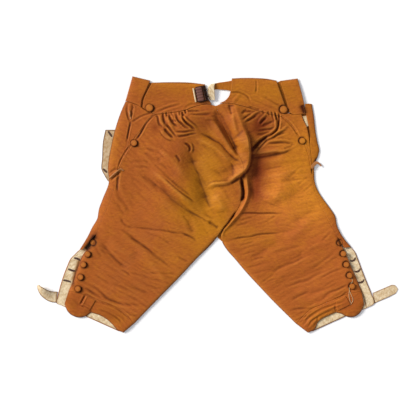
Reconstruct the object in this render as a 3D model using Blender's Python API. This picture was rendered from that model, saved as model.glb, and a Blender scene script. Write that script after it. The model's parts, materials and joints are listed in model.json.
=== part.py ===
"""Knee breeches of ribbed silk, laid flat on a surface with their back upwards.

The wearer's left leg is the one at -X. +Y runs from the knees to the waist and +Z is up. The front
of the garment is the flat layer on the surface. The back lies on it as one creased sheet, which is
cut into its sewn pieces. Tables and sizes are in millimetres, and MM turns them into metres.
"""
import math

import bmesh
import bpy
import numpy as np
from mathutils import Vector
from mathutils.bvhtree import BVHTree

MM = 0.001

# ---- driving sizes -------------------------------------------------------------------------------
CLOTH = 1.4            # silk with its linen lining
BAND_CLOTH = 2.2       # waistband: silk, stiffening and lining
TRIM_CLOTH = 1.0       # one folded layer of linen facing
GAP = 0.3              # air left between layers
SEAM = 0.22            # each piece keeps this far inside its seam line
LAID = CLOTH + GAP     # where a layer that lies on the front begins
KNEE_BUTTON, POCKET_BUTTON, WAIST_BUTTON = 15.5, 16.5, 20.0
BUTTON_HEIGHT = 0.3    # share of a button's diameter
BACK_STRAP_WIDTH = 17.0
BUCKLE_WIDE, BUCKLE_TALL, BUCKLE_WIRE = 27.0, 38.0, 3.0

# ---- colours (linear) ----------------------------------------------------------------------------
SILK = (0.40, 0.13, 0.032)
LINEN = (0.75, 0.58, 0.36)
IRON = (0.06, 0.035, 0.03)
RIBBON = (0.13, 0.05, 0.035)

# ---- seam lines and edges, each from the waist down or from the side to the middle ---------------
CENTRE_BACK = [(-4, 237), (6, 208), (20, 177), (37, 141), (54, 112), (62, 88), (62, 64), (59, 36),
               (58, 12), (49, -10), (32, -34), (13, -60)]

LEFT = dict(
    waist_seam=[(-149, 216), (-107, 221), (-80, 226), (-49, 237), (-23, 241), (-4, 237)],
    pocket_edge=[(-149, 216), (-167, 199), (-186, 177), (-202, 156), (-215, 127), (-229, 103), (-236, 86)],
    flap_edge=[(-197, 241), (-206, 222), (-209, 199), (-213, 168), (-222, 132), (-232, 105), (-240, 86)],
    flap_top=[(-197, 241), (-184, 234), (-179, 230), (-162, 221), (-149, 216)],
    turn_top=[(-221, 248), (-208, 245), (-197, 241)],
    side_seam=[(-236, 86), (-245, 48), (-257, 9), (-273, -29), (-289, -68)],
    slit_edge=[(-289, -68), (-294, -80), (-298, -92), (-309, -103), (-321, -117), (-331, -137), (-340, -161),
               (-348, -186), (-357, -207)],
    turn_end=[(-298, -77), (-311, -92), (-324, -108)],
    outline=[(-221, 248), (-231, 225), (-246, 180), (-257, 132), (-263, 88), (-261, 54), (-275, 16),
             (-285, -12), (-289, -34), (-299, -51), (-311, -75)],
    facing_edge=[(-311, -75), (-321, -92), (-330, -106), (-342, -118), (-352, -128), (-361, -147),
                 (-371, -173), (-379, -200), (-385, -224), (-388, -234)],
    crotch=[(3, -71)],
    inseam=[(-3, -80), (-52, -131), (-90, -172), (-145, -228), (-200, -285)],
    knee_seam=[(-357, -207), (-338, -210), (-317, -216), (-292, -225), (-258, -239), (-229, -252),
               (-200, -285)],
    tab_hem=[(-367, -238), (-359, -256), (-347, -266), (-331, -270), (-316, -267), (-303, -258)],
    band_hem=[(-303, -258), (-282, -265), (-265, -275), (-253, -286), (-240, -300), (-226, -306.5)],
    hem=[(-388, -234), (-369, -244), (-318, -267), (-238, -303), (-225, -308)],
    buttons=[(-299, -90), (-311, -118), (-321, -143), (-328, -173), (-334, -201)],
)
RIGHT = dict(
    waist_seam=[(153, 211), (126, 217), (99, 225), (65, 235), (28, 243), (11, 243), (-4, 237)],
    pocket_edge=[(153, 211), (174, 192), (194, 166), (204, 152), (211, 137), (219, 111), (223, 86)],
    flap_edge=[(201, 217), (205, 204), (212, 190), (217, 172), (221, 136), (224, 110), (227, 86)],
    flap_top=[(201, 217), (181, 216), (168, 219), (153, 211)],
    turn_top=[(226, 242), (217, 242.5), (209, 242)],
    turn_inner=[(209, 242), (212, 215), (218.5, 187), (221, 163), (221.8, 136), (224.6, 110), (227.5, 86)],
    side_seam=[(223, 86), (228, 57), (238, 19), (259, -27), (286, -75)],
    slit_edge=[(286, -75), (294, -93), (305, -114), (318, -143), (329, -168), (338, -190), (345, -208)],
    turn_end=[(293.5, -86), (303, -103)],
    outline=[(226, 242), (231, 213), (235, 178), (240, 149), (244, 131), (241, 117), (233, 98), (232, 77),
             (233, 57), (240, 36), (258, 8), (270, -8), (282, -27), (287, -51), (296, -70)],
    facing_edge=[(296, -70), (308, -87), (320, -101), (330, -113), (337, -130), (344, -149), (356, -180),
                 (368, -209), (376, -237)],
    crotch=[(8, -74)],
    inseam=[(12, -91), (22.5, -108), (40, -128), (64, -156.5), (104, -200), (131, -228.5), (188, -285)],
    knee_seam=[(345, -208), (327, -210), (306, -215), (282, -225), (251, -238), (222, -251), (188, -285)],
    tab_hem=[(351, -240), (343, -257), (329, -268), (310, -268), (296, -261), (283, -258)],
    band_hem=[(283, -258), (268, -265), (253, -272), (241, -281), (233, -298), (216.5, -306.5)],
    hem=[(376, -237), (355, -249), (306, -268), (229, -303), (216, -308)],
    buttons=[(293, -91), (301, -117), (308, -143), (316, -169), (322, -195)],
)

# Folds of the laid cloth: how far each rises (or sinks, if negative), how wide it is to the left and
# the right of its run, and the points that it runs through.
FOLD_COLUMNS = ("rise", "left", "right", "points")
FOLDS = [
    # the full seat, rolled over the centre-back seam
    (17, 9, 17, [(30, 242), (34, 226), (44, 198), (58, 160), (68, 132), (68, 112), (58, 94), (40, 78)]),
    (9, 8, 16, [(68, 112), (58, 94), (40, 78), (14, 62), (-14, 53)]),
    (-8, 7, 6, [(-10, 232), (6, 206), (22, 178), (38, 146), (50, 114)]),
    (6, 5, 12, [(-18, 208), (8, 184), (26, 158), (44, 124)]),
    (-5, 8, 6, [(-44, 176), (-20, 166), (4, 146), (28, 116)]),
    (3, 10, 10, [(-58, 186), (-24, 190), (10, 162)]),
    (-7, 24, 8, [(82, 214), (84, 160), (82, 110), (84, 60), (94, 8)]),
    (-3, 9, 9, [(-8, 86), (16, 90), (44, 104)]),
    # the crotch seam gapes, with a lip on its right
    (-9, 3.5, 3.5, [(60, 76), (61, 44), (59, 12), (47, -12)]),
    (4, 5, 3.5, [(67, 76), (68, 40), (63, 0), (48, -30), (16, -64), (8, -82)]),
    # the long drag lines of the left thigh
    (9, 9, 12, [(-158, 86), (-110, 42), (-61, -2), (-37, -21), (4, -34)]),
    (-5, 5, 5, [(-138, 80), (-94, 42), (-56, 12)]),
    (-9, 16, 17, [(-66, 122), (-46, 80), (-36, 36), (-22, -12)]),
    (-4, 9, 10, [(-182, 76), (-141, 52), (-103, 16), (-78, -20)]),
    (-4, 5, 6, [(-81, -24), (-70, -40), (-60, -58)]),
    (4, 14, 16, [(-140, 130), (-104, 104), (-76, 60)]),
    (-3, 6, 6, [(-78, 150), (-70, 142), (-67, 130)]),
    (-3, 7, 6, [(-216, 112), (-186, 96), (-160, 92)]),
    # the left leg above the knee
    (-3.5, 6, 5, [(-226, -54), (-179, -56), (-123, -63), (-40, -84)]),
    (-4, 7, 6, [(-229, -58), (-179, -96), (-133, -128), (-98, -146)]),
    (-4.5, 9, 7, [(-282, -92), (-251, -128), (-215, -150)]),
    (-3, 6, 6, [(-204, -154), (-175, -166), (-146, -174)]),
    (-3, 6, 5, [(-315, -164), (-300, -178), (-284, -192)]),
    (-4, 8, 5, [(-320, -206), (-275, -220), (-224, -244)]),
    (3, 9, 9, [(-196, -116), (-160, -140), (-120, -196)]),
    (2.5, 12, 12, [(-262, -80), (-238, -104), (-196, -124)]),
    # the sharp creases that run from the right gathers
    (5, 6, 4, [(166, 184), (138, 164), (114, 150), (90, 124)]),
    (-6, 6, 5, [(151, 206), (142, 180), (124, 164), (100, 146), (84, 128)]),
    (5, 12, 4, [(82, 124), (118, 131), (152, 133), (184, 144)]),
    (-3, 3, 8, [(84, 117), (120, 124), (156, 127)]),
    (5, 22, 26, [(120, 100), (130, 60), (116, 8)]),
    # the right leg
    (-3.5, 5, 6, [(52, -22), (107, -20), (170, -18)]),
    (-4, 6, 5, [(16, -82), (77, -77), (145, -66), (192, -58)]),
    (-3.5, 9, 8, [(76, -130), (112, -108), (150, -84)]),
    (-4, 10, 9, [(114, -168), (166, -138), (222, -108)]),
    (-4.5, 10, 8, [(136, -192), (198, -172), (268, -146)]),
    (-4, 9, 8, [(160, -222), (232, -208), (304, -186)]),
    (-4, 7, 7, [(196, -246), (250, -228), (308, -210)]),
    (3, 12, 10, [(160, -92), (196, -62), (228, -30)]),
    (2.5, 10, 10, [(196, -116), (240, -96), (272, -88)]),
]

SOFTNESS = 5.0  # every fold is at least this wide, so that the mesh can follow it

# Gathers sewn into the waist seam, from the side to the middle: the shares of the seam between which
# they lie, their number, how deep they are, how far down they reach and how far they slide sideways.
GATHER_COLUMNS = ("first", "last", "count", "depth", "reach", "slide")
LEFT_GATHERS = [(0.05, 0.52, 10, 2.0, 0.1, 0.1)]
RIGHT_GATHERS = [(0.02, 0.27, 6, 1.7, 0.055, 0.01), (0.36, 0.60, 5, 1.9, 0.08, 0.07)]

# How full the laid garment is: a level, then swellings, each with its centre, reach and height.
LEG_FULLNESS, WAIST_FULLNESS = 6.5, 3.0
SWELLING_COLUMNS = ("x", "y", "reach_x", "reach_y", "height")
SWELLINGS = [
    (10, 110, 80, 80, 9.0),
    (10, 10, 44, 48, 5.0),
    (-90, 40, 70, 70, 3.0),
]


# ---- curves --------------------------------------------------------------------------------------
def smooth_line(points):
    """A curve through the points, as a function of the share of its length, from 0 to 1."""
    p = np.array(points, float)
    reach = np.concatenate([[0], np.cumsum(np.linalg.norm(np.diff(p, axis=0), axis=1))])
    slope = np.gradient(p, reach, axis=0) if len(p) > 2 else np.repeat((p[1:] - p[:1]) / reach[1], 2, 0)

    def at(share):
        s = np.clip(np.asarray(share, float), 0, 1) * reach[-1]
        i = np.clip(np.searchsorted(reach, s, side="right") - 1, 0, len(p) - 2)
        h = (reach[i + 1] - reach[i])[..., None]
        t = (s[..., None] - reach[i][..., None]) / h
        return (
            (2 * t**3 - 3 * t**2 + 1) * p[i]
            + (t**3 - 2 * t**2 + t) * h * slope[i]
            + (3 * t**2 - 2 * t**3) * p[i + 1]
            + (t**3 - t**2) * h * slope[i + 1]
        )

    return at


def divided(line, rise=0.0, steps=12):
    """A finely divided copy of a line, so that two curves through it run alike, moved up by rise."""
    return [(x, y + rise) for x, y in smooth_line(line)(np.linspace(0, 1, steps + 1))]


def joined(first, second, break_at):
    """Two curves in a row, which meet at the share break_at."""

    def at(share):
        s = np.asarray(share, float)
        before = (s <= break_at)[..., None]
        return np.where(before, first(s / break_at), second((s - break_at) / (1 - break_at)))

    return at


def from_line(x, y, line):
    """How far each point is from a line of points, on which side, and how far along it is (0 to 1)."""
    near = np.full(x.shape, np.inf)
    side = np.ones(x.shape)
    along = np.zeros(x.shape)
    legs = len(line) - 1
    for i in range(legs):
        (ax, ay), (bx, by) = line[i], line[i + 1]
        dx, dy = bx - ax, by - ay
        t = np.clip(((x - ax) * dx + (y - ay) * dy) / (dx * dx + dy * dy), 0, 1)
        gap = np.hypot(x - ax - t * dx, y - ay - t * dy)
        closer = gap < near
        side = np.where(closer, np.sign(dx * (y - ay) - dy * (x - ax)), side)
        along = np.where(closer, (i + t) / legs, along)
        near = np.where(closer, gap, near)
    return near, side, along


# ---- the surface of the laid back ----------------------------------------------------------------
def fold_height(x, y):
    """What all folds together add to the height of the cloth."""
    total = np.zeros(x.shape)
    for row in FOLDS:
        f = dict(zip(FOLD_COLUMNS, row))
        run = smooth_line(f["points"])(np.linspace(0, 1, 4 * len(f["points"])))
        gap, side, along = from_line(x, y, run)
        left, right = math.hypot(f["left"], SOFTNESS), math.hypot(f["right"], SOFTNESS)
        rise = f["rise"] * (f["left"] + f["right"]) / (left + right)
        ends = np.minimum(1, np.minimum(along, 1 - along) * 4.5)
        total += rise * np.exp(-((gap / np.where(side > 0, left, right)) ** 2)) * (0.2 + 0.8 * ends)
    return total


def down_edges():
    """Edges where the back comes down to what it lies on, and how far in it stays rounded."""
    rows = [([(-156, 294), (-30, 290), (-24, 262), (-12, 241)], 4.0)]
    rows.append(([(34, 303), (90, 304), (140, 298)], 4.0))
    for side in (LEFT, RIGHT):
        rows.append((side["outline"] + side["facing_edge"][1:3], 8.0))
        rows.append((side["slit_edge"][3:], 5.0))
        rows.append((side["inseam"] + side["band_hem"][-1:], 8.0))
        rows.append((side["band_hem"], 4.0))
        rows.append((side["tab_hem"], 5.0))
        corner = max(side["outline"][0], side["turn_top"][-1], key=lambda p: abs(p[0]))
        top = (-204, 308) if side is LEFT else (192, 303)
        rows.append(([corner, top, (math.copysign(155, top[0]), 297)], 5.0))
    return rows


def back_height(x, y, more=0.0):
    """Height of the upper face of the back, in mm above the surface that the garment lies on."""
    x, y = np.asarray(x, float), np.asarray(y, float)
    waist = np.clip((y - 196) / 36, 0, 1)
    full = LEG_FULLNESS + (WAIST_FULLNESS - LEG_FULLNESS) * waist * waist * (3 - 2 * waist)
    for s in (dict(zip(SWELLING_COLUMNS, row)) for row in SWELLINGS):
        reach = ((x - s["x"]) / s["reach_x"]) ** 2 + ((y - s["y"]) / s["reach_y"]) ** 2
        full = full + s["height"] * np.exp(-reach)
    inside = np.ones(x.shape)
    for line, rounding in down_edges():
        gap = from_line(x, y, line)[0]
        inside = inside * (1 - np.exp(-gap / rounding))
    over_facing = np.zeros(x.shape)
    for side in (LEFT, RIGHT):
        for line in (side["slit_edge"] + side["tab_hem"] + side["band_hem"][1:], side["facing_edge"]):
            gap = from_line(x, y, line)[0]
            over_facing = np.maximum(over_facing, np.exp(-((gap / 26) ** 4)))
    swell = (full + fold_height(x, y) + more) * inside
    swell = 0.5 * (swell + np.sqrt(swell * swell + 1.0)) - 0.25
    return LAID + CLOTH + (TRIM_CLOTH + GAP) * over_facing + swell


# ---- solids --------------------------------------------------------------------------------------
def material(name, colour, roughness=0.6, metallic=0.0):
    made = bpy.data.materials.get(name) or bpy.data.materials.new(name)
    made.use_nodes = True
    shader = made.node_tree.nodes["Principled BSDF"]
    shader.inputs["Base Color"].default_value = (*colour, 1)
    shader.inputs["Roughness"].default_value = roughness
    shader.inputs["Metallic"].default_value = metallic
    return made


def object_from(name, points, faces, finish):
    """An object at the origin whose mesh is the given points, in mm, and faces."""
    mesh = bpy.data.meshes.new(name)
    mesh.from_pydata([tuple(MM * c for c in p) for p in points], [], faces)
    mesh.validate()
    bm = bmesh.new()
    bm.from_mesh(mesh)
    bmesh.ops.recalc_face_normals(bm, faces=bm.faces)
    bm.to_mesh(mesh)
    bm.free()
    mesh.shade_smooth()
    mesh.set_sharp_from_angle(angle=math.radians(50))
    mesh.materials.append(finish)
    made = bpy.data.objects.new(name, mesh)
    bpy.context.collection.objects.link(made)
    return made


def zipped(first, second, shares_a, shares_b, heights=None):
    """Triangles between two rows of points, which may have different numbers of points.

    Where the rows match, the diagonal joins the two corners that are closer in height.
    """
    faces, i, j = [], 0, 0
    while i < len(first) - 1 or j < len(second) - 1:
        if j == len(second) - 1:
            ahead = True
        elif i == len(first) - 1:
            ahead = False
        elif abs(shares_a[i + 1] - shares_b[j + 1]) < 1e-6 and heights is not None:
            fall = abs(heights[first[i + 1]] - heights[second[j]])
            ahead = fall < abs(heights[first[i]] - heights[second[j + 1]])
        else:
            ahead = shares_a[i + 1] <= shares_b[j + 1]
        if ahead:
            faces.append((first[i], second[j], first[i + 1]))
            i += 1
        else:
            faces.append((first[i], second[j], second[j + 1]))
            j += 1
    return faces


def patch_rows(edges, rows):
    """Points of a patch between four edges: top, bottom (both from left to right), left and right."""
    top, bottom, left, right = edges
    corners = [top(0.0), top(1.0), bottom(0.0), bottom(1.0)]
    made = []
    for v, shares, _ in rows:
        u = np.asarray(shares)[:, None]
        level = (1 - v) * top(shares) + v * bottom(shares)
        level = level + (1 - u) * left(v) + u * right(v)
        level = level - (1 - v) * ((1 - u) * corners[0] + u * corners[1])
        made.append(level - v * ((1 - u) * corners[2] + u * corners[3]))
    return made


def trimmed(rows):
    """The rows with their border moved in by SEAM, towards the next point."""
    moved = [row.copy() for row in rows]
    for row, kept in zip(moved, rows):
        for end, inner in ((0, 1), (-1, -2)):
            way = kept[inner] - kept[end]
            row[end] += way / np.linalg.norm(way) * SEAM
    for end, inner in ((0, 1), (-1, -2)):
        near = rows[inner]
        for i, point in enumerate(rows[end]):
            share = i / (len(rows[end]) - 1) * (len(near) - 1)
            low = min(int(share), len(near) - 2)
            target = near[low] + (share - low) * (near[low + 1] - near[low])
            way = target - point
            moved[end][i] += way / np.linalg.norm(way) * SEAM
    return moved


def cloth_patch(name, edges, rows, thickness, finish, lift=0.0):
    """A wall of even thickness whose upper face follows the back's height, raised by lift.

    Each row holds its share of the way down, the shares of its points and what each adds in height.
    """
    flat = trimmed(patch_rows(edges, rows))
    upper, lines = [], []
    for row, (_, _, more) in zip(flat, rows):
        z = back_height(row[:, 0], row[:, 1], more) + lift
        lines.append(list(range(len(upper), len(upper) + len(row))))
        upper += [np.array((p[0], p[1], h)) for p, h in zip(row, z)]
    upper = np.array(upper)
    faces = []
    for i in range(len(lines) - 1):
        faces += zipped(lines[i], lines[i + 1], rows[i][1], rows[i + 1][1], upper[:, 2])
    lower = upper - thickness * wall_normals(upper, faces, lines)
    return object_from(name, *walled(upper, lower, faces, lines), finish)


def wall_normals(points, faces, lines):
    """The direction in which the wall is thick: square to the cloth inside, and upright at the border."""
    total = np.zeros(points.shape)
    for a, b, c in faces:
        square = np.cross(points[b] - points[a], points[c] - points[a])
        if square[2] < 0:
            square = -square
        for i in (a, b, c):
            total[i] += square
    total /= np.linalg.norm(total, axis=1)[:, None]
    border = set(lines[0]) | set(lines[-1]) | {i for row in lines for i in (row[0], row[-1])}
    total[sorted(border)] = (0, 0, 1)
    return total


def walled(upper, lower, faces, lines):
    """Points and faces of the closed wall between an upper and a lower face with the same layout."""
    n = len(upper)
    border = lines[0] + [row[-1] for row in lines[1:-1]] + lines[-1][::-1]
    border += [row[0] for row in lines[-2:0:-1]]
    faces = list(faces) + [(a + n, c + n, b + n) for a, b, c in faces]
    for a, b in zip(border, border[1:] + border[:1]):
        faces += [(a, b, b + n), (a, b + n, a + n)]
    return np.concatenate([upper, lower]), faces


def even_rows(down, across):
    """Rows for a patch with the same number of points in each."""
    shares = np.linspace(0, 1, across + 1)
    return [(v, shares, 0.0) for v in np.linspace(0, 1, down + 1)]


def flat_sheet(name, outline, low, high, finish):
    """A flat piece between two heights, from its outline in either direction."""
    points = [(x, y, low) for x, y in outline] + [(x, y, high) for x, y in outline]
    n = len(outline)
    faces = [tuple(range(n))[::-1], tuple(range(n, 2 * n))]
    faces += [(i, (i + 1) % n, n + (i + 1) % n, n + i) for i in range(n)]
    return object_from(name, points, faces, finish)


def strip(first, second, steps):
    """The outline between two lines that run the same way."""
    shares = np.linspace(0, 1, steps + 1)
    ahead, back = smooth_line(first)(shares), smooth_line(second)(shares)
    return [tuple(p) for p in ahead] + [tuple(p) for p in back[::-1]]


def between(first, second, top_line, steps_down, across):
    """Edges and rows of a patch between two lines that run from the top to the bottom."""
    left, right, top = smooth_line(first), smooth_line(second), smooth_line(top_line)
    bottom = smooth_line([first[-1], second[-1]])
    return (top, bottom, left, right), even_rows(steps_down, across)


# ---- the pieces ----------------------------------------------------------------------------------
def gathered_rows(gathers, downs, plain):
    """Rows of a leg: plain columns, and near the waist seam a ridge and a hollow for each gather."""
    rows = []
    for v in downs:
        shares, more = list(plain), [0.0] * len(plain)
        for g in (dict(zip(GATHER_COLUMNS, row)) for row in gathers):
            if v >= g["reach"]:
                continue
            fade = 1 - v / g["reach"]
            slide = g["slide"] * (1 - fade)
            first, last = g["first"] + slide, g["last"] + slide
            kept = [i for i, s in enumerate(shares) if s < first - 0.012 or s > last + 0.012]
            shares, more = [shares[i] for i in kept], [more[i] for i in kept]
            steps = 2 * g["count"]
            shares += [first + (last - first) * k / steps for k in range(steps + 1)]
            more += [g["depth"] * fade**0.6 * (1 if k % 2 else -0.8) for k in range(steps + 1)]
        order = np.argsort(shares)
        rows.append((v, np.array(shares)[order], np.array(more)[order]))
    return rows


def back_leg(name, side, gathers, finish):
    """The back of one leg with its half of the seat, gathered into the waist seam."""
    inside_leg = CENTRE_BACK[-1:] + side["crotch"] + side["inseam"]
    middle = joined(smooth_line(CENTRE_BACK), smooth_line(inside_leg), 0.49)
    outer = smooth_line(side["pocket_edge"] + divided(side["side_seam"])[1:] + side["slit_edge"][1:])
    edges = (smooth_line(side["waist_seam"]), smooth_line(side["knee_seam"]), outer, middle)
    plain = np.interp(np.linspace(0, 1, 23), (0, 0.36, 1), (0, 0.5, 1))
    downs = [np.linspace(0, 0.084, 5), np.linspace(0.108, 0.49, 19), np.linspace(0.515, 1, 16)]
    downs = np.concatenate(downs)
    cloth_patch(name, edges, gathered_rows(gathers, downs, plain), CLOTH, finish)


def front_leg(name, side, slit_x, finish):
    """The front of one leg, flat on the surface, out to the knee facing's edge and down to the hem."""
    top = (math.copysign(224, slit_x), 240)
    outer = smooth_line([top] + side["outline"][1:] + side["facing_edge"][1:])(np.linspace(0, 1, 34))
    middle_x, foot = math.copysign(GAP, slit_x), FALL_FOOT - GAP
    outline = [tuple(p) for p in outer] + side["hem"][1:] + [side["inseam"][-1], side["inseam"][0]]
    outline += [(middle_x, CROTCH_FOOT), (middle_x, foot), (slit_x, foot), (slit_x, FALL_CORNER)]
    flat_sheet(name, outline, 0.0, CLOTH, finish)


FALL_HALF, FALL_FOOT, FALL_CORNER, CROTCH_FOOT = 132.0, 62.0, 204.0, -78.5
FRONT_BAND = {
    "left": ([(-204, 306), (-157, 291.5), (-120, 268), (-52, 245), (-20, 240), (-GAP, 233)],
             [(-221, 241), (-132, 206), (-58, 184), (-GAP, 178)]),
    "right": ([(192, 301), (143, 294), (118, 268), (52, 250), (22, 246), (8, 240), (GAP, 233)],
              [(209, 236), (132, 206), (58, 184), (GAP, 178)]),
}


def front_of_waist(finish):
    """The front waistband's two halves and the fall, which hang under the back and lie on the surface."""
    for label, (top, foot) in FRONT_BAND.items():
        flat_sheet(f"waistband_front_{label}", strip(top, foot, 8), 0.0, CLOTH, finish)
    foot = FRONT_BAND["right"][1]
    edge_y = float(np.interp(FALL_HALF, *zip(*sorted(foot)))) - 3 * GAP
    brow = [(x, y - 2 * GAP) for x, y in divided(foot, steps=8) if x < FALL_HALF - 1]
    brow = [(FALL_HALF - GAP, edge_y)] + brow
    outline = brow + [(-x, y) for x, y in brow[::-1] if x > 1]
    outline += [(-FALL_HALF + GAP, FALL_FOOT), (FALL_HALF - GAP, FALL_FOOT)]
    flat_sheet("fall", outline, 0.0, CLOTH, finish)


def waistbands(finish):
    """The back halves, deep at the middle, and the ends of the front halves that turn over the sides."""
    left_seam = divided(LEFT["waist_seam"], 0.8)[:-1] + [(-13, 240.8)]
    right_seam = divided(RIGHT["waist_seam"], 0.8)[:-1][::-1]
    shapes = {
        "waistband_back_left": (
            [(-157, 293), (-114, 294), (-66, 293), (-30, 289)],
            [(-180, 233), (-162, 223)] + left_seam,
            [(-157, 293), (-169, 271), (-177, 253), (-180, 233)],
            [(-30, 289), (-27, 270), (-22, 254), (-13, 240.8)], 20),
        "waistband_back_right": (
            [(34, 303), (54, 304), (90, 304), (119, 302), (141, 298)],
            right_seam + [(168, 221)],
            [(34, 303), (33, 288), (31, 273), (27.5, 261), (18, 250), (6, 243), right_seam[0]],
            [(141, 298), (152, 266), (168, 221)], 20),
        "waistband_side_left": (
            [(-204, 308.3), (-182, 303), (-161, 298)],
            [(-221, 248.7), (-208, 245.7), (-197, 241.7), (-184, 234.7)],
            [(-204, 308.3), (-213, 276), (-221, 248.7)],
            [(-161, 298), (-173, 271), (-181, 253), (-184, 234.7)], 6),
        "waistband_side_right": (
            [(149, 297), (170, 300), (192, 303)],
            [(172, 221), (181, 216.9), (201, 217.9), (211, 216)],
            [(149, 297), (160, 264), (172, 221)],
            [(192, 303), (203, 262), (207.5, 242), (211, 216)], 6),
    }
    for name, (top, bottom, left, right, across) in shapes.items():
        edges = tuple(smooth_line(line) for line in (top, bottom, left, right))
        cloth_patch(name, edges, even_rows(6, across), BAND_CLOTH, finish, lift=BAND_CLOTH - CLOTH)


def side_pieces(side, label, finish):
    """The front's margin turned over the side, and the shaped pocket flap beside it."""
    inner = side.get("turn_inner", side["flap_edge"]) + divided(side["side_seam"])[1:] + side["turn_end"]
    outer = side["outline"] + side["facing_edge"][1:3]
    edges, rows = between(outer, inner, side["turn_top"], 30, 3)
    cloth_patch(f"side_turn_{label}", edges, rows, CLOTH, finish)
    edges, rows = between(side["flap_edge"], side["pocket_edge"], side["flap_top"], 14, 4)
    cloth_patch(f"pocket_flap_{label}", edges, rows, CLOTH, finish, lift=0.8)


def knee_pieces(side, label, silk, linen):
    """Tab, knee band and band end of the back, and the linen that shows on the front beyond them."""
    way = math.copysign(1, side["hem"][0][0])
    seam, band, tab = side["knee_seam"], side["band_hem"], side["tab_hem"]
    inner_edge = [seam[2], tuple((np.array(seam[2]) + np.array(band[0])) / 2), band[0]]
    tab_edges = (seam[:3], tab, [seam[0], tab[0]], inner_edge)
    cloth_patch(f"knee_tab_{label}", tuple(smooth_line(e) for e in tab_edges), even_rows(5, 8), CLOTH, silk)
    band_edges = (seam[2:], band, inner_edge, [seam[-1], band[-1]])
    band_edges = tuple(smooth_line(e) for e in band_edges)
    cloth_patch(f"knee_band_{label}", band_edges, even_rows(3, 14), CLOTH, silk)
    end_edges = (
        [(seam[2][0], seam[2][1] - 3), (seam[3][0], seam[3][1] - 3)],
        [(seam[2][0] + way * 12, seam[2][1] - 23), (band[0][0] + way * 4, band[0][1] + 4)],
    )
    end_edges += ([end_edges[0][0], end_edges[1][0]], [end_edges[0][1], end_edges[1][1]])
    lift = CLOTH + 2 * GAP
    end_edges = tuple(smooth_line(e) for e in end_edges)
    cloth_patch(f"band_end_{label}", end_edges, even_rows(3, 3), CLOTH, silk, lift)

    inset, depth = 1.0, 34.0
    facing, hem = side["facing_edge"], side["hem"]

    def on_hem(x):
        return float(np.interp(x, *zip(*sorted(hem)))) + inset

    foot_x = facing[-1][0] - way * (depth + 1)
    outer = [(x - way * inset, y) for x, y in facing] + [(hem[1][0], hem[1][1] + inset)]
    inner = [(x - way * depth, y + 4) for x, y in facing] + [(foot_x, on_hem(foot_x))]
    flat_sheet(f"knee_facing_{label}", strip(outer, inner, 20), LAID, LAID + TRIM_CLOTH, linen)
    lower = [(x, on_hem(x)) for x in np.linspace(foot_x - way * GAP, hem[3][0], 9)]
    upper = [(x - way * 14 * t, y + 22 + 12 * t) for t, (x, y) in zip(np.linspace(0, 1, 9), lower)]
    flat_sheet(f"hem_lining_{label}", strip(lower, upper, 8), LAID, LAID + TRIM_CLOTH, linen)


def ribbon(name, points, widths, thickness, finish):
    """A strap: points on its middle, and at each one the half width as a direction."""
    points, widths = np.array(points, float), np.array(widths, float)
    run = np.gradient(points, axis=0)
    square = np.cross(run, widths)
    square /= np.linalg.norm(square, axis=1)[:, None]
    square *= np.where(square[:1, 2:] < 0, -1, 1)
    corners = []
    for p, w, s in zip(points, widths, square):
        corners += [p - w, p + w, p + w - thickness * s, p - w - thickness * s]
    faces = [(3, 2, 1, 0)]
    for i in range(0, 4 * (len(points) - 1), 4):
        faces += [(i + k, i + (k + 1) % 4, i + 4 + (k + 1) % 4, i + 4 + k) for k in range(4)]
    last = 4 * (len(points) - 1)
    faces.append((last, last + 1, last + 2, last + 3))
    return object_from(name, corners, faces, finish)


# The left knee strap from its root to its tip: its middle, half its width, how far its middle is
# lifted, and how far it is turned on its edge, in degrees.
STRAP_COLUMNS = ("x", "y", "half", "lift", "turn")
LEFT_STRAP = [
    (-389.0, -221.5, 13.0, 0.0, 0),
    (-396.0, -220.5, 13.0, 0.0, 3),
    (-403.0, -218.5, 12.9, 0.2, 7),
    (-410.0, -215.0, 12.2, 0.6, 14),
    (-416.0, -210.5, 11.6, 1.2, 22),
    (-421.0, -205.5, 11.6, 2.0, 31),
    (-425.2, -200.5, 10.8, 3.0, 40),
    (-428.2, -196.0, 8.0, 4.0, 47),
    (-429.9, -192.5, 4.5, 5.0, 52),
]


def knee_straps(finish):
    """The buckle straps of the knee bands. The left one turns up on its edge towards the tip."""
    rows = [dict(zip(STRAP_COLUMNS, row)) for row in LEFT_STRAP]
    run = np.gradient(np.array([(r["x"], r["y"]) for r in rows]), axis=0)
    points, widths = [], []
    for r, way in zip(rows, run):
        across = np.array((-way[1], way[0], 0.0)) / np.linalg.norm(way)
        across *= math.copysign(1, across[1])
        turn = math.radians(r["turn"])
        points.append((r["x"], r["y"], CLOTH + 0.1 + r["lift"] + r["half"] * math.sin(turn)))
        widths.append(r["half"] * (across * math.cos(turn) + np.array((0, 0, math.sin(turn)))))
    ribbon("knee_strap_left", points, widths, CLOTH, finish)
    outline = [(377, -209), (418, -192), (427, -194), (432.5, -201), (430, -210), (421, -216), (378.5, -236)]
    flat_sheet("knee_strap_right", outline, 0.0, CLOTH, finish)


def rolled(point, fold_point, fold_way, radius):
    """Where a point of a flat strap goes when the strap is rolled back over a slanting line."""
    x, y, z = point
    away = np.array((fold_way[1], -fold_way[0]))
    past = (x - fold_point[0]) * away[0] + (y - fold_point[1]) * away[1]
    if past <= 0:
        return x, y, z
    turn = min(past / radius, math.pi)
    shift = radius * math.sin(turn) - max(0.0, past - math.pi * radius)
    lift = radius * (1 - math.cos(turn))
    return x + (shift - past) * away[0], y + (shift - past) * away[1], z * math.cos(turn) + lift


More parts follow.
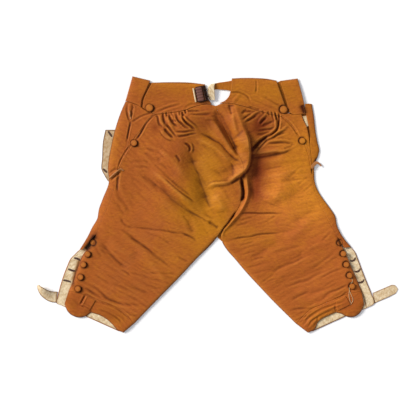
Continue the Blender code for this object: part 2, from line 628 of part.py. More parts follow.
def back_strap(finish):
    """The strap of the right half, which rolls over on itself and hangs down in the vent."""
    long, half, steps = 88.0, BACK_STRAP_WIDTH / 2, 22
    way = math.sqrt(0.5)
    upper, lower, lines = [], [], []
    for i, t in enumerate(np.linspace(0, 1, steps + 1)):
        lines.append([3 * i + k for k in range(3)])
        for share in (-1, 0, 1):
            spread = 1 + 0.35 * max(0.0, 1 - t / 0.3)
            x, y = 30.0 - long * t, 287.5 + share * half * spread
            for layer, z in ((upper, CLOTH / 2), (lower, -CLOTH / 2)):
                moved = rolled((x, y, z), (-8.5, 287.5), (-way, -way), 3.6)
                layer.append((moved[0], moved[1], moved[2] + STRAP_LEVEL))
    faces = []
    for a, b in zip(lines[:-1], lines[1:]):
        faces += zipped(a, b, (0, 0.5, 1), (0, 0.5, 1))
    points, faces = walled(np.array(upper), np.array(lower), faces, lines)
    return object_from("back_strap", points, faces, finish)


STRAP_LEVEL = 4.2


def turned(name, profile, finish, sides=14):
    """A solid of revolution about an upright axis: profile rows of radius and height."""
    turns = [2 * math.pi * k / sides for k in range(sides)]
    points = [(r * math.cos(a), r * math.sin(a), z) for r, z in profile for a in turns]
    top = len(points)
    points.append((0, 0, profile[-1][1] * 1.04))
    faces = [tuple(range(sides))[::-1]]
    for i in range(len(profile) - 1):
        a, b = i * sides, (i + 1) * sides
        faces += [(a + k, a + (k + 1) % sides, b + (k + 1) % sides, b + k) for k in range(sides)]
    last = (len(profile) - 1) * sides
    faces += [(last + k, last + (k + 1) % sides, top) for k in range(sides)]
    return object_from(name, points, faces, finish)


def resting_height(x, y, radius, carriers):
    """The highest point of the carriers under a disc, found by looking down on their meshes."""
    found = 0.0
    for ring, count in ((0.0, 1), (0.5, 6), (1.0, 12)):
        for k in range(count):
            angle = 2 * math.pi * k / count
            out = ring * radius
            at = Vector((MM * (x + out * math.cos(angle)), MM * (y + out * math.sin(angle)), 1))
            for tree in carriers:
                hit = tree.ray_cast(at, Vector((0, 0, -1)))[0]
                if hit:
                    found = max(found, hit.z / MM)
    return found


def button(name, x, y, diameter, carriers, finish):
    """A cloth-covered button: a low dome on a short shank edge."""
    r, h = diameter / 2, diameter * BUTTON_HEIGHT
    profile = [(0.72 * r, 0.0), (r, 0.28 * h), (0.96 * r, 0.55 * h), (0.7 * r, 0.88 * h),
               (0.36 * r, 0.98 * h)]
    level = resting_height(x, y, 0.75 * r, carriers) + GAP
    level = max(level, resting_height(x, y, r, carriers) + GAP - 0.28 * h)
    turned(name, profile, finish).location = (MM * x, MM * y, MM * level)


def trees(*names):
    """Search trees of the finished pieces, for finding heights on them."""
    found = []
    for name in names:
        mesh = bpy.data.objects[name].data
        mesh.calc_loop_triangles()
        found.append(BVHTree.FromPolygons([v.co for v in mesh.vertices],
                                          [tuple(t.vertices) for t in mesh.loop_triangles]))
    return found


def buttons(silk):
    """All covered buttons. The first of each knee lies in the slit, on the facing below it."""
    hip_buttons = (("left", LEFT, (-163, 232), (-200, 148)), ("right", RIGHT, (158, 228), (203, 153)))
    for label, side, waist, pocket in hip_buttons:
        back = trees(f"leg_back_{label}", f"knee_tab_{label}", f"side_turn_{label}", f"pocket_flap_{label}")
        for i, (x, y) in enumerate(side["buttons"]):
            carriers = back if i else trees(f"knee_facing_{label}")
            button(f"knee_button_{label}_{i + 1}", x, y, KNEE_BUTTON, carriers, silk)
        button(f"pocket_button_{label}", *pocket, POCKET_BUTTON, back, silk)
        band = trees(f"waistband_back_{label}", f"waistband_side_{label}")
        button(f"waist_button_{label}", *waist, WAIST_BUTTON, back + band, silk)


def buckle(iron, linen, ribbon_finish):
    """The waist buckle on the left half: an iron frame, the ribbon that holds it and its linen end."""
    carriers = trees("waistband_back_left")
    centre_x, centre_y, slant = -38.5, 265.5, math.radians(17)
    level = resting_height(centre_x, centre_y, 17, carriers) + GAP
    wide, tall, wire, corner = BUCKLE_WIDE / 2, BUCKLE_TALL / 2, BUCKLE_WIRE, 4.0
    outer, inner = [], []
    for sx, sy, first in ((1, 1, 0), (-1, 1, 90), (-1, -1, 180), (1, -1, 270)):
        for k in range(4):
            angle = math.radians(first + 30 * k)
            x = sx * (wide - corner) + corner * math.cos(angle)
            y = sy * (tall - corner) + corner * math.sin(angle)
            outer.append((x, y))
            hole_x = min(max(x, wire - wide), wide - 2.4 * wire)
            inner.append((hole_x, y * (1 - wire / tall)))
    points, faces, n = [], [], len(outer)
    for (x, y), (hole_x, hole_y) in zip(outer, inner):
        points += [(x, y, 0), (x, y, wire), (hole_x, hole_y, wire), (hole_x, hole_y, 0)]
    for i in range(n):
        a, b = 4 * i, 4 * ((i + 1) % n)
        faces += [(a + k, a + (k + 1) % 4, b + (k + 1) % 4, b + k) for k in range(4)]
    made = [object_from("buckle_frame", points, faces, iron)]
    x0, x1, y1 = wire + GAP - wide, wide - 2.4 * wire - GAP, tall - 2 * wire
    tape = [(x0, -y1), (x1, -y1), (x1, y1), (x0, y1)]
    made.append(flat_sheet("buckle_ribbon", tape, 0.0, 2.2, ribbon_finish))
    x0, x1, y1 = -wide - 5.0, -wide - GAP, tall - wire
    made.append(flat_sheet("buckle_keeper", [(x0, -y1), (x1, -y1), (x1, y1), (x0, y1)], 0.0, 1.6, linen))
    for piece in made:
        piece.location = (MM * centre_x, MM * centre_y, MM * level)
        piece.rotation_euler.z = slant


def hip_trim(linen):
    """What shows beyond the turned sides: the linen facing of the fall and the pocket's lining."""
    edge = [(x - 2 * GAP, y) for x, y in divided(LEFT["outline"][2:6], steps=10)]
    facing = [(-269, 180), (-274, 157), (-277, 111), (-278, 84), (-271, 70), (-264, 58)]
    flat_sheet("fall_facing_left", strip(facing, edge, 10), 0.0, TRIM_CLOTH, linen)
    pocket_opening = [(204, 212), (211.5, 214), (218, 189), (214, 186)]
    flat_sheet("pocket_lining_right", pocket_opening, LAID + 2, LAID + 3, linen)


def build():
    for old in list(bpy.data.objects):
        bpy.data.objects.remove(old)
    silk = material("ribbed_silk", SILK, 0.5)
    linen = material("linen_lining", LINEN, 0.85)
    iron = material("blackened_iron", IRON, 0.5, 0.8)
    ribbon_finish = material("ribbed_ribbon", RIBBON, 0.7)

    back_leg("leg_back_left", LEFT, LEFT_GATHERS, silk)
    back_leg("leg_back_right", RIGHT, RIGHT_GATHERS, silk)
    front_leg("leg_front_left", LEFT, -FALL_HALF - GAP, silk)
    front_leg("leg_front_right", RIGHT, FALL_HALF + GAP, silk)
    front_of_waist(silk)
    waistbands(silk)
    for side, label in ((LEFT, "left"), (RIGHT, "right")):
        side_pieces(side, label, silk)
        knee_pieces(side, label, silk, linen)
    knee_straps(linen)
    back_strap(silk)
    hip_trim(linen)
    buttons(silk)
    buckle(iron, linen, ribbon_finish)


build()
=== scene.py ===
# %% [markdown]
# # Knee breeches of ribbed silk
# Breeches of this kind were worn down to the knee, over stockings. They lie with their back upwards,
# so what shows is the full seat, the gathered waist with its small buckle, the sides that turn over
# from the front, and the buttoned knees. The wearer's left leg is at -X, the waist is towards +Y, and
# +Z is up. Sizes are in millimetres, and MM turns them into metres.
#
# The first step loads the plain model that every piece has to agree with. A dressed piece may stand
# only a little proud of it.

# %% Load the plain model
import json
import math

import bmesh
import bpy
import numpy as np
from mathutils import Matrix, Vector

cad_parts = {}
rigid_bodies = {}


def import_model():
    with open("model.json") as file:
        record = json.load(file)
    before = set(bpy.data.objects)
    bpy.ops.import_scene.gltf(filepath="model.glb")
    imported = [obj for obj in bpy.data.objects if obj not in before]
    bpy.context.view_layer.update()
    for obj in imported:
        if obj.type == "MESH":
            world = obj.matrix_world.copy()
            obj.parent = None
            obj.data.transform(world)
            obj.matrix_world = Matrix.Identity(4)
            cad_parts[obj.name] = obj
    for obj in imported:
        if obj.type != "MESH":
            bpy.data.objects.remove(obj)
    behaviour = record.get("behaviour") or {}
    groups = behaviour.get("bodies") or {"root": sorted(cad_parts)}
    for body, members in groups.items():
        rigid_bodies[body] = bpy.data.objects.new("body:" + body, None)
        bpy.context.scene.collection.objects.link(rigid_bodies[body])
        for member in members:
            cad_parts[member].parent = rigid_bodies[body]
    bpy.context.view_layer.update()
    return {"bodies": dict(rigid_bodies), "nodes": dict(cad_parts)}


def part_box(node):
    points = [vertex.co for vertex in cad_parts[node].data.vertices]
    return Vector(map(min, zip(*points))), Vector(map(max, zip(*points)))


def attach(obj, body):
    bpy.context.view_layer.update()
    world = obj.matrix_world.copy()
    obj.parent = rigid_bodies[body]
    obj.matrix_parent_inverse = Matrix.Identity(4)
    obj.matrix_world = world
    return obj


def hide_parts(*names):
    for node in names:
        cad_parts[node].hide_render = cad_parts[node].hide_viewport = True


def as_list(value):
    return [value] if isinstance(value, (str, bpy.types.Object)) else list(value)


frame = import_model()
BODY = list(frame["bodies"])[0]
MM = 0.001

# %% [markdown]
# ## Helpers
# A few short functions serve the whole script: they put an object in the scene, read a colour, set
# sockets, add a node and start a material.


# %% Helpers for objects, colours and nodes
def placed(name, data):
    """A new object in the scene."""
    made = bpy.data.objects.new(name, data)
    bpy.context.collection.objects.link(made)
    return made


def colour(code):
    """A linear colour with alpha, from an sRGB hex code."""
    channels = [int(code[i:i + 2], 16) / 255 for i in (0, 2, 4)]
    linear = [c / 12.92 if c <= 0.04045 else ((c + 0.055) / 1.055) ** 2.4 for c in channels]
    return (*linear, 1.0)


def fill(tree, node, sockets):
    """Gives the sockets of a node their values or links."""
    for name, value in sockets.items():
        if isinstance(value, bpy.types.NodeSocket):
            tree.links.new(value, node.inputs[name])
        else:
            node.inputs[name].default_value = value


def add(tree, kind, sockets=None, out=0, **settings):
    """Adds a node with its settings and links, and gives one of its outputs."""
    node = tree.nodes.new(kind)
    for name, value in settings.items():
        setattr(node, name, value)
    fill(tree, node, sockets or {})
    return node.outputs[out]


def new_material(name, code, roughness):
    """A material with one Principled shader, its node tree and that shader."""
    made = bpy.data.materials.new(name)
    made.use_nodes = True
    shader = made.node_tree.nodes["Principled BSDF"]
    fill(made.node_tree, shader, {"Base Color": colour(code), "Roughness": roughness})
    return made, made.node_tree, shader


# %% [markdown]
# ## Camera, floor and light
# The camera looks straight down through a long lens, which keeps both legs the same size. The floor
# is a sheet of pale paper that glows faintly. Most of the light is even and comes from the whole
# sky, and one soft sun from the upper left gives each fold a lit and a shaded flank, which is how
# the eye reads relief in cloth.

# %% Camera, floor and light
VIEW_WIDTH, VIEW_X, VIEW_Y, CAMERA_HEIGHT, SENSOR = 0.984, -0.0302, -0.0004, 3.0, 36
lens = bpy.data.cameras.new("overhead_camera")
lens.sensor_width = SENSOR
lens.lens = SENSOR * CAMERA_HEIGHT / VIEW_WIDTH
bpy.context.scene.camera = placed("overhead_camera", lens)
bpy.context.scene.camera.location = (VIEW_X, VIEW_Y, CAMERA_HEIGHT)

FLOOR_HALF, FLOOR_LEVEL, PAPER = 4, -0.0001, "f5f6f8"
paper, tree, shader = new_material("paper_matt_coated", PAPER, 0.9)
fill(tree, shader, {"Emission Color": colour(PAPER), "Emission Strength": 0.12})
floor_mesh = bpy.data.meshes.new("paper_floor")
corners = [(-1, -1), (1, -1), (1, 1), (-1, 1)]
corners = [(FLOOR_HALF * x, FLOOR_HALF * y, FLOOR_LEVEL) for x, y in corners]
floor_mesh.from_pydata(corners, [], [range(4)])
floor_mesh.materials.append(paper)
placed("paper_floor", floor_mesh)

SKY, SKY_STRENGTH = "f8f9ff", 0.46
SUNLIGHT, SUN_STRENGTH, SUN_ANGLE, SUN_PLACE = "fffaf4", 4.0, 0.36, (-2.0, 0.95, 1.3)
sky = bpy.data.worlds.new("soft_sky")
sky.use_nodes = True
fill(sky.node_tree, sky.node_tree.nodes["Background"], {"Color": colour(SKY), "Strength": SKY_STRENGTH})
bpy.context.scene.world = sky
bpy.context.scene.view_settings.view_transform = "Standard"
sun = bpy.data.lights.new("window_light", "SUN")
sun.angle, sun.energy, sun.color = SUN_ANGLE, SUN_STRENGTH, colour(SUNLIGHT)[:3]
lamp = placed("window_light", sun)
lamp.location = SUN_PLACE
lamp.rotation_euler = (-lamp.location).to_track_quat("-Z", "Y").to_euler()
print("lens", round(lens.lens), "mm, one sky and one soft sun")

# %% [markdown]
# ## Ribbed silk
# The outer cloth is a corded silk: thick weft cords under a fine warp, which leaves ribs across the
# piece. It was dyed a cognac brown that has faded unevenly, golden over the hips and the crotch and
# redder on the legs. The pattern follows the cloth's own cut, so it reads a UV map called "cut" whose
# unit is a millimetre, and five marks stored in the mesh: how golden the dye is, how much painted
# shade and soil darken a hollow, how much wear and a painted highlight lighten a ridge, where painted
# shade and deeper dye darken the colour, and where painted light and shade make it lighter or darker.
#
# Real ribs of this silk are 0.5 mm apart. They are drawn 1.3 mm apart here, because finer ones
# would not show from a step away. A slub is a thick place in a weft thread: it gives the long faint
# streaks across the cloth. Silk keeps a soft sheen, so the shader's sheen is low but not zero.

# %% Silk
MATH, MIX, NOISE, MAPPING = "ShaderNodeMath", "ShaderNodeMix", "ShaderNodeTexNoise", "ShaderNodeMapping"
RIB, WHOLE_TURN = 1.3, 2 * math.pi
RED_SILK, GOLD_SILK, SHADE_AND_SOIL_SILK, WORN_AND_LIT_SILK, SHADE_AND_DEEP_DYE_SILK = "a85920", "b87314", "431701", "cc8c3a", "641c02"
MARKS = ("golden", "soil", "worn", "deep", "pale")
GRAIN_COLUMNS = ("across", "down", "detail", "rough", "seed")
SILK_GRAIN = {
    "slub": (26, 2, 4, 0.6, 0), "thread": (3, 1, 2, 0.6, 7), "crinkle": (9, 5, 3, 0.55, 17),
    "mottle": (38, 38, 4, 0.55, 3), "cloud": (95, 95, 2, 0.5, 11),
}
LINEN_GRAIN = {
    "slub_x": (2, 22, 3, 0.6, 5), "slub_y": (22, 2, 3, 0.6, 5), "cloud": (24, 24, 4, 0.6, 9),
    "blotch": (6, 8, 4, 0.65, 13),
}


def grained(tree, rows, on_solid=()):
    """The place on the cut, and a noise for each row, whose grain is so many mm across and down.

    Those named in on_solid run through the whole piece and don't follow its cut.
    """
    cut = add(tree, "ShaderNodeUVMap", uv_map="cut") if len(rows) > len(on_solid) else None
    solid = add(tree, "ShaderNodeTexCoord", out="Object") if on_solid else None
    noises = {}
    for name, row in rows.items():
        g = dict(zip(GRAIN_COLUMNS, row))
        vector, unit = (solid, 1 / MM) if name in on_solid else (cut, 1)
        away = [share * g["seed"] for share in (1, 0.7, 0.3)]
        scale = (unit / g["across"], unit / g["down"], 0)
        moved = add(tree, MAPPING, {"Vector": vector, "Location": away, "Scale": scale})
        noises[name] = add(tree, NOISE, {"Vector": moved, "Scale": 1, "Detail": g["detail"],
                                         "Roughness": g["rough"]})
    return cut, noises


def wave(tree, cut, axis, pitch, wander=0.0):
    """A sine across the cut, once in every pitch, which a noise may push to and fro."""
    along = add(tree, "ShaderNodeSeparateXYZ", {0: cut}, axis)
    phase = add(tree, MATH, {0: along, 1: WHOLE_TURN / pitch, 2: wander}, operation="MULTIPLY_ADD")
    return add(tree, MATH, {0: phase}, operation="SINE")


def toned(tree, dye, *tones):
    """A colour whose red, green and blue are multiplied by three tones."""
    grey = add(tree, "ShaderNodeCombineColor", dict(enumerate(tones)))
    return add(tree, MIX, {0: 1, 6: dye, 7: grey}, 2, data_type="RGBA", blend_type="MULTIPLY")


def silk_material(name):
    """Corded silk, with uneven dye, painted shade and soil in its hollows, wear with a painted highlight on
    its ridges, and painted light and shade in areas.
    """
    made, tree, shader = new_material(name, RED_SILK, 0.5)
    cut, noise = grained(tree, SILK_GRAIN, ("mottle", "cloud"))
    mark = {m: add(tree, "ShaderNodeAttribute", out="Fac", attribute_name=m) for m in MARKS}
    wander = add(tree, MATH, {0: noise["slub"], 1: 5}, operation="MULTIPLY")
    rib = add(tree, MATH, {0: wave(tree, cut, "Y", RIB, wander), 1: 0.5, 2: 0.5}, operation="MULTIPLY_ADD")

    gold = mark["golden"]
    for part, share in (("mottle", 0.9), ("crinkle", 0.7)):
        gold = add(tree, MATH, {0: noise[part], 1: share, 2: gold}, operation="MULTIPLY_ADD")
    gold = add(tree, MATH, {0: gold, 1: 0.8}, operation="SUBTRACT")
    dye = colour(RED_SILK)
    for amount, share, code in ((gold, 1, GOLD_SILK), (mark["soil"], 0.75, SHADE_AND_SOIL_SILK),
                                (mark["worn"], 0.35, WORN_AND_LIT_SILK), (mark["deep"], 1, SHADE_AND_DEEP_DYE_SILK)):
        amount = add(tree, MATH, {0: amount, 1: share}, operation="MULTIPLY")
        dye = add(tree, MIX, {0: amount, 6: dye, 7: colour(code)}, 2, data_type="RGBA")
    tone = 1.0
    for part, share, base in (
        (noise["slub"], 0.5, 0.75), (noise["thread"], 0.44, 0.78), (rib, 0.08, 0.96),
        (noise["cloud"], 0.3, 0.85), (noise["crinkle"], 0.36, 0.82), (mark["pale"], 0.3, 1),
    ):
        part = add(tree, MATH, {0: part, 1: share, 2: base}, operation="MULTIPLY_ADD")
        tone = add(tree, MATH, {0: part, 1: tone}, operation="MULTIPLY")
    # The pale mark is painted light and shade: it lightens or darkens the colour, and takes blue out where it
    # darkens.
    bluer = add(tree, MATH, {0: mark["pale"], 1: 0.4, 2: 1}, operation="MULTIPLY_ADD")
    bluer = add(tree, MATH, {0: tone, 1: bluer}, operation="MULTIPLY")
    dye = toned(tree, dye, tone, tone, bluer)

    relief = 0.0
    for part, height in ((rib, 0.1), (noise["thread"], 0.1), (noise["slub"], 0.25), (noise["crinkle"], 1.2)):
        relief = add(tree, MATH, {0: part, 1: height, 2: relief}, operation="MULTIPLY_ADD")
    bump = add(tree, "ShaderNodeBump", {"Strength": 0.8, "Distance": MM, "Height": relief})
    rough = add(tree, MATH, {0: noise["mottle"], 1: 0.2, 2: 0.5}, operation="MULTIPLY_ADD")
    fill(tree, shader, {"Base Color": dye, "Roughness": rough, "Normal": bump, "Sheen Weight": 0.04,
                        "Sheen Roughness": 0.35, "Specular IOR Level": 0.12})
    return made


silk = silk_material("silk_corded_woven")
print(silk.name, "with", len(silk.node_tree.nodes), "nodes")

# %% [markdown]
# ## Linen, iron, ribbon and thread
# The lining, the knee facings and the straps are plain-woven linen, cream with age, whose flax
# threads vary in thickness both ways. The buckle is iron that was blackened in oil and has begun to
# rust. Its tape is a ribbed ribbon. Sewing thread is silk or linen, twisted, so it catches a little
# light along each stitch.

# %% Linen
LINEN_THREAD = 1.1
LINEN, LINEN_SHADE, LINEN_SOIL_AND_SHADE, LINEN_GRIME_AND_SHADE = "fae8c4", "bf9c66", "98642e", "2e1a0c"


def linen_material(name):
    """Plain-woven linen, made browner by soil and painted shade, and darkest in the slits and beside the
    silk.
    """
    made, tree, shader = new_material(name, LINEN, 0.85)
    cut, noise = grained(tree, LINEN_GRAIN)
    soil = add(tree, "ShaderNodeAttribute", out="Fac", attribute_name="soil")
    weave = 1.0
    for axis, slub in (("X", "slub_x"), ("Y", "slub_y")):
        wander = add(tree, MATH, {0: noise[slub], 1: 4}, operation="MULTIPLY")
        thread = wave(tree, cut, axis, LINEN_THREAD, wander)
        weave = add(tree, MATH, {0: thread, 1: weave}, operation="MULTIPLY")
    weave = add(tree, MATH, {0: weave, 1: 0.5, 2: 0.5}, operation="MULTIPLY_ADD")
    shade = -1.28
    for part, share in (("cloud", 0.9), ("blotch", 2.2), ("slub_x", 0.12), ("slub_y", 0.12)):
        shade = add(tree, MATH, {0: noise[part], 1: share, 2: shade}, operation="MULTIPLY_ADD")
    # Where painted shade and soil are strongest, in the slits, the linen turns near black.
    grime_and_shade = add(tree, "ShaderNodeMapRange", {"Value": soil, "From Min": 0.85, "From Max": 1.5})
    flax = colour(LINEN)
    for amount, code in ((shade, LINEN_SHADE), (soil, LINEN_SOIL_AND_SHADE), (grime_and_shade, LINEN_GRIME_AND_SHADE)):
        flax = add(tree, MIX, {0: amount, 6: flax, 7: colour(code)}, 2, data_type="RGBA")
    tone = add(tree, MATH, {0: weave, 1: 0.22, 2: 0.84}, operation="MULTIPLY_ADD")
    flax = toned(tree, flax, tone, tone, tone)
    relief = 0.0
    for part, height in ((weave, 0.25), (noise["slub_x"], 0.3), (noise["slub_y"], 0.3)):
        relief = add(tree, MATH, {0: part, 1: height, 2: relief}, operation="MULTIPLY_ADD")
    bump = add(tree, "ShaderNodeBump", {"Strength": 0.7, "Distance": MM, "Height": relief})
    fill(tree, shader, {"Base Color": flax, "Normal": bump, "Specular IOR Level": 0.2})
    return made


linen = linen_material("linen_plain_woven")


# %% Iron, ribbon and thread
IRON, IRON_DARK, IRON_RUST = "2a1c17", "1d1513", "59321f"
RIBBON, RIBBON_DARK, RIBBON_PALE, RIBBON_RIB = "6b3f35", "3c1c17", "946050", 2.6


def iron_material(name):
    """Forged iron, blackened, with spots of rust."""
    made, tree, shader = new_material(name, IRON, 0.45)
    rust = grained(tree, {"rust": (3, 3, 5, 0.65, 2)}, ["rust"])[1]["rust"]
    share = add(tree, "ShaderNodeMapRange", {"Value": rust, "From Min": 0.45, "From Max": 0.7})
    skin = add(tree, MIX, {0: share, 6: colour(IRON_DARK), 7: colour(IRON_RUST)}, 2, data_type="RGBA")
    rough = add(tree, MATH, {0: share, 1: 0.35, 2: 0.4}, operation="MULTIPLY_ADD")
    bump = add(tree, "ShaderNodeBump", {"Strength": 0.5, "Distance": 0.4 * MM, "Height": rust})
    fill(tree, shader, {"Base Color": skin, "Roughness": rough, "Normal": bump, "Metallic": 0.8})
    return made


def ribbon_material(name):
    """A ribbed tape, worn fuzzy on its ribs."""
    made, tree, shader = new_material(name, RIBBON, 0.7)
    cut, noise = grained(tree, {"fuzz": (2, 0.8, 3, 0.6, 4)})
    ribs = wave(tree, cut, "Y", RIBBON_RIB)
    ribs = add(tree, MATH, {0: ribs, 1: 0.5, 2: 0.5}, operation="MULTIPLY_ADD")
    fuzz = add(tree, MATH, {0: noise["fuzz"], 1: 0.8, 2: 0.4}, operation="MULTIPLY_ADD")
    share = add(tree, MATH, {0: ribs, 1: fuzz}, operation="MULTIPLY")
    skin = add(tree, MIX, {0: share, 6: colour(RIBBON_DARK), 7: colour(RIBBON_PALE)}, 2, data_type="RGBA")
    bump = add(tree, "ShaderNodeBump", {"Strength": 0.8, "Distance": 0.5 * MM, "Height": share})
    fill(tree, shader, {"Base Color": skin, "Normal": bump})
    return made


def thread_material(name, pale, dark):
    """Twisted thread, which shimmers between two colours."""
    made, tree, shader = new_material(name, pale, 0.55)
    ply = grained(tree, {"ply": (1.2, 1.2, 2, 0.5, 1)}, ["ply"])[1]["ply"]
    skin = add(tree, MIX, {0: ply, 6: colour(pale), 7: colour(dark)}, 2, data_type="RGBA")
    fill(tree, shader, {"Base Color": skin, "Sheen Weight": 0.2})
    return made


iron = iron_material("iron_forged_blackened")
ribbon_tape = ribbon_material("silk_ribbon_ribbed")
silk_thread = thread_material("silk_thread_twisted", "c4823a", "84491a")
dark_thread = thread_material("silk_thread_waxed", "5b2f14", "33190b")
linen_thread = thread_material("linen_thread_waxed", "e6d2a8", "c0a06a")

# %% [markdown]
# ## The lines that the pieces share
# A pair of breeches is drafted as flat pieces that meet along seams. Each line below is one seam or
# edge of the laid garment, as a few points from the waist down or from the side to the middle, and
# both neighbours use the same line, so they meet without a gap. A smooth curve runs through the
# points of a line. It is a cubic whose slope at each point comes from its neighbours, which is how
# a draughtsman's flexible rule lies.


# %% Curves
def smooth_line(points):
    """A curve through the points, as a function of the share of its length, from 0 to 1."""
    p = np.array(points, float)
    reach = np.insert(np.cumsum(np.linalg.norm(np.diff(p, axis=0), axis=1)), 0, 0)
    slope = np.gradient(p, reach, axis=0) if len(p) > 2 else np.repeat((p[1:] - p[:1]) / reach[1], 2, 0)

    def at(share):
        s = np.clip(np.asarray(share, float), 0, 1) * reach[-1]
        i = np.clip(np.searchsorted(reach, s, side="right") - 1, 0, len(p) - 2)
        h = (reach[i + 1] - reach[i])[..., None]
        t = (s[..., None] - reach[i][..., None]) / h
        places = (2 * t**3 - 3 * t**2 + 1) * p[i] + (3 * t**2 - 2 * t**3) * p[i + 1]
        return places + (t**3 - 2 * t**2 + t) * h * slope[i] + (t**3 - t**2) * h * slope[i + 1]

    return at


def run_along(line, count, trim=0.0):
    """Evenly spaced points on the curve through a line, which may be cut short at both ends."""
    return smooth_line(line)(np.linspace(trim, 1 - trim, count))


def divided(line, rise=0.0, steps=12):
    """A finely divided copy of a line, so that two curves through it run alike, moved up by rise."""
    return [(x, y + rise) for x, y in run_along(line, steps + 1)]


def joined(first, second, break_at):
    """Two curves in a row, which meet at the share break_at."""
    def at(share):
        s = np.asarray(share, float)
        later = (s - break_at) / (1 - break_at)
        return np.where((s <= break_at)[..., None], first(s / break_at), second(later))

    return at


def from_line(x, y, line):
    """How far each point is from a line of points, on which side, and how far along it is (0 to 1)."""
    near, side, along = np.full(x.shape, np.inf), np.ones(x.shape), np.zeros(x.shape)
    for i, ((ax, ay), (bx, by)) in enumerate(zip(line[:-1], line[1:])):
        dx, dy = bx - ax, by - ay
        t = np.clip(((x - ax) * dx + (y - ay) * dy) / (dx * dx + dy * dy), 0, 1)
        gap = np.hypot(x - ax - t * dx, y - ay - t * dy)
        closer = gap < near
        side = np.where(closer, np.sign(dx * (y - ay) - dy * (x - ax)), side)
        along = np.where(closer, (i + t) / (len(line) - 1), along)
        near = np.where(closer, gap, near)
    return near, side, along


def close_to(x, y, line, reach):
    """Which points lie in the box round a line, widened by reach."""
    low, high = np.min(line, axis=0) - reach, np.max(line, axis=0) + reach
    return np.nonzero((x > low[0]) & (x < high[0]) & (y > low[1]) & (y < high[1]))[0]


# %% Seam lines and edges of the laid garment
CENTRE_BACK = [(-4, 237), (6, 208), (20, 177), (37, 141), (54, 112), (62, 88), (62, 64), (59, 36),
               (58, 12), (49, -10), (32, -34), (13, -60)]

LEFT = dict(
    waist_seam=[(-149, 216), (-107, 221), (-80, 226), (-49, 237), (-23, 241), (-4, 237)],
    pocket_edge=[(-149, 216), (-167, 199), (-186, 177), (-202, 156), (-215, 127), (-229, 103), (-236, 86)],
    flap_edge=[(-197, 241), (-206, 222), (-209, 199), (-213, 168), (-222, 132), (-232, 105), (-240, 86)],
    flap_top=[(-197, 241), (-184, 234), (-179, 230), (-162, 221), (-149, 216)],
    turn_top=[(-221, 248), (-208, 245), (-197, 241)],
    side_seam=[(-236, 86), (-245, 48), (-257, 9), (-273, -29), (-289, -68)],
    slit_edge=[(-289, -68), (-294, -80), (-298, -92), (-309, -103), (-321, -117), (-331, -137), (-340, -161),
               (-348, -186), (-357, -207)],
    turn_end=[(-298, -77), (-311, -92), (-324, -108)],
    outline=[(-221, 248), (-231, 225), (-246, 180), (-257, 132), (-263, 88), (-261, 54), (-275, 16),
             (-285, -12), (-289, -34), (-299, -51), (-311, -75)],
    facing_edge=[(-311, -75), (-321, -92), (-330, -106), (-342, -118), (-352, -128), (-361, -147),
                 (-371, -173), (-379, -200), (-385, -224), (-388, -234)],
    crotch=[(3, -71)],
    inseam=[(-3, -80), (-52, -131), (-90, -172), (-145, -228), (-200, -285)],
    knee_seam=[(-357, -207), (-338, -210), (-317, -216), (-292, -225), (-258, -239), (-229, -252),
               (-200, -285)],
    tab_hem=[(-367, -238), (-359, -256), (-347, -266), (-331, -270), (-316, -267), (-303, -258)],
    band_hem=[(-303, -258), (-282, -265), (-265, -275), (-253, -286), (-240, -300), (-226, -306.5)],
    hem=[(-388, -234), (-369, -244), (-318, -267), (-238, -303), (-225, -308)],
)
RIGHT = dict(
    waist_seam=[(153, 211), (126, 217), (99, 225), (65, 235), (28, 243), (11, 243), (-4, 237)],
    pocket_edge=[(153, 211), (174, 192), (194, 166), (204, 152), (211, 137), (219, 111), (223, 86)],
    flap_edge=[(201, 217), (205, 204), (212, 190), (217, 172), (221, 136), (224, 110), (227, 86)],
    flap_top=[(201, 217), (181, 216), (168, 219), (153, 211)],
    turn_top=[(226, 242), (217, 242.5), (209, 242)],
    turn_inner=[(209, 242), (212, 215), (218.5, 187), (221, 163), (221.8, 136), (224.6, 110), (227.5, 86)],
    side_seam=[(223, 86), (228, 57), (238, 19), (259, -27), (286, -75)],
    slit_edge=[(286, -75), (294, -93), (305, -114), (318, -143), (329, -168), (338, -190), (345, -208)],
    turn_end=[(293.5, -86), (303, -103)],
    outline=[(226, 242), (231, 213), (235, 178), (240, 149), (244, 131), (241, 117), (233, 98), (232, 77),
             (233, 57), (240, 36), (258, 8), (270, -8), (282, -27), (287, -51), (296, -70)],
    facing_edge=[(296, -70), (308, -87), (320, -101), (330, -113), (337, -130), (344, -149), (356, -180),
                 (368, -209), (376, -237)],
    crotch=[(8, -74)],
    inseam=[(12, -91), (22.5, -108), (40, -128), (64, -156.5), (104, -200), (131, -228.5), (188, -285)],
    knee_seam=[(345, -208), (327, -210), (306, -215), (282, -225), (251, -238), (222, -251), (188, -285)],
    tab_hem=[(351, -240), (343, -257), (329, -268), (310, -268), (296, -261), (283, -258)],
    band_hem=[(283, -258), (268, -265), (253, -272), (241, -281), (233, -298), (216.5, -306.5)],
    hem=[(376, -237), (355, -249), (306, -268), (229, -303), (216, -308)],
)

SIDES = {"left": LEFT, "right": RIGHT}
print("leg outline", sum(len(side["outline"]) for side in SIDES.values()), "points")

# %% [markdown]
# ## How the cloth lies
# The back is one creased surface over the flat front. Its height is the sum of three things: a soft
# fullness that sinks to the edges, the folds, and small uneven ripples. A fold is a line of points
# with a rise (below zero for a valley) and a width on each side, so one flank can be steeper than
# the other, as a fold that leans is. The long folds drag from the waist to the crotch, because the
# seat of breeches is cut very full for sitting on a horse. Each row of the two tables holds the
# rise, the width on the left, the width on the right, and then the points.

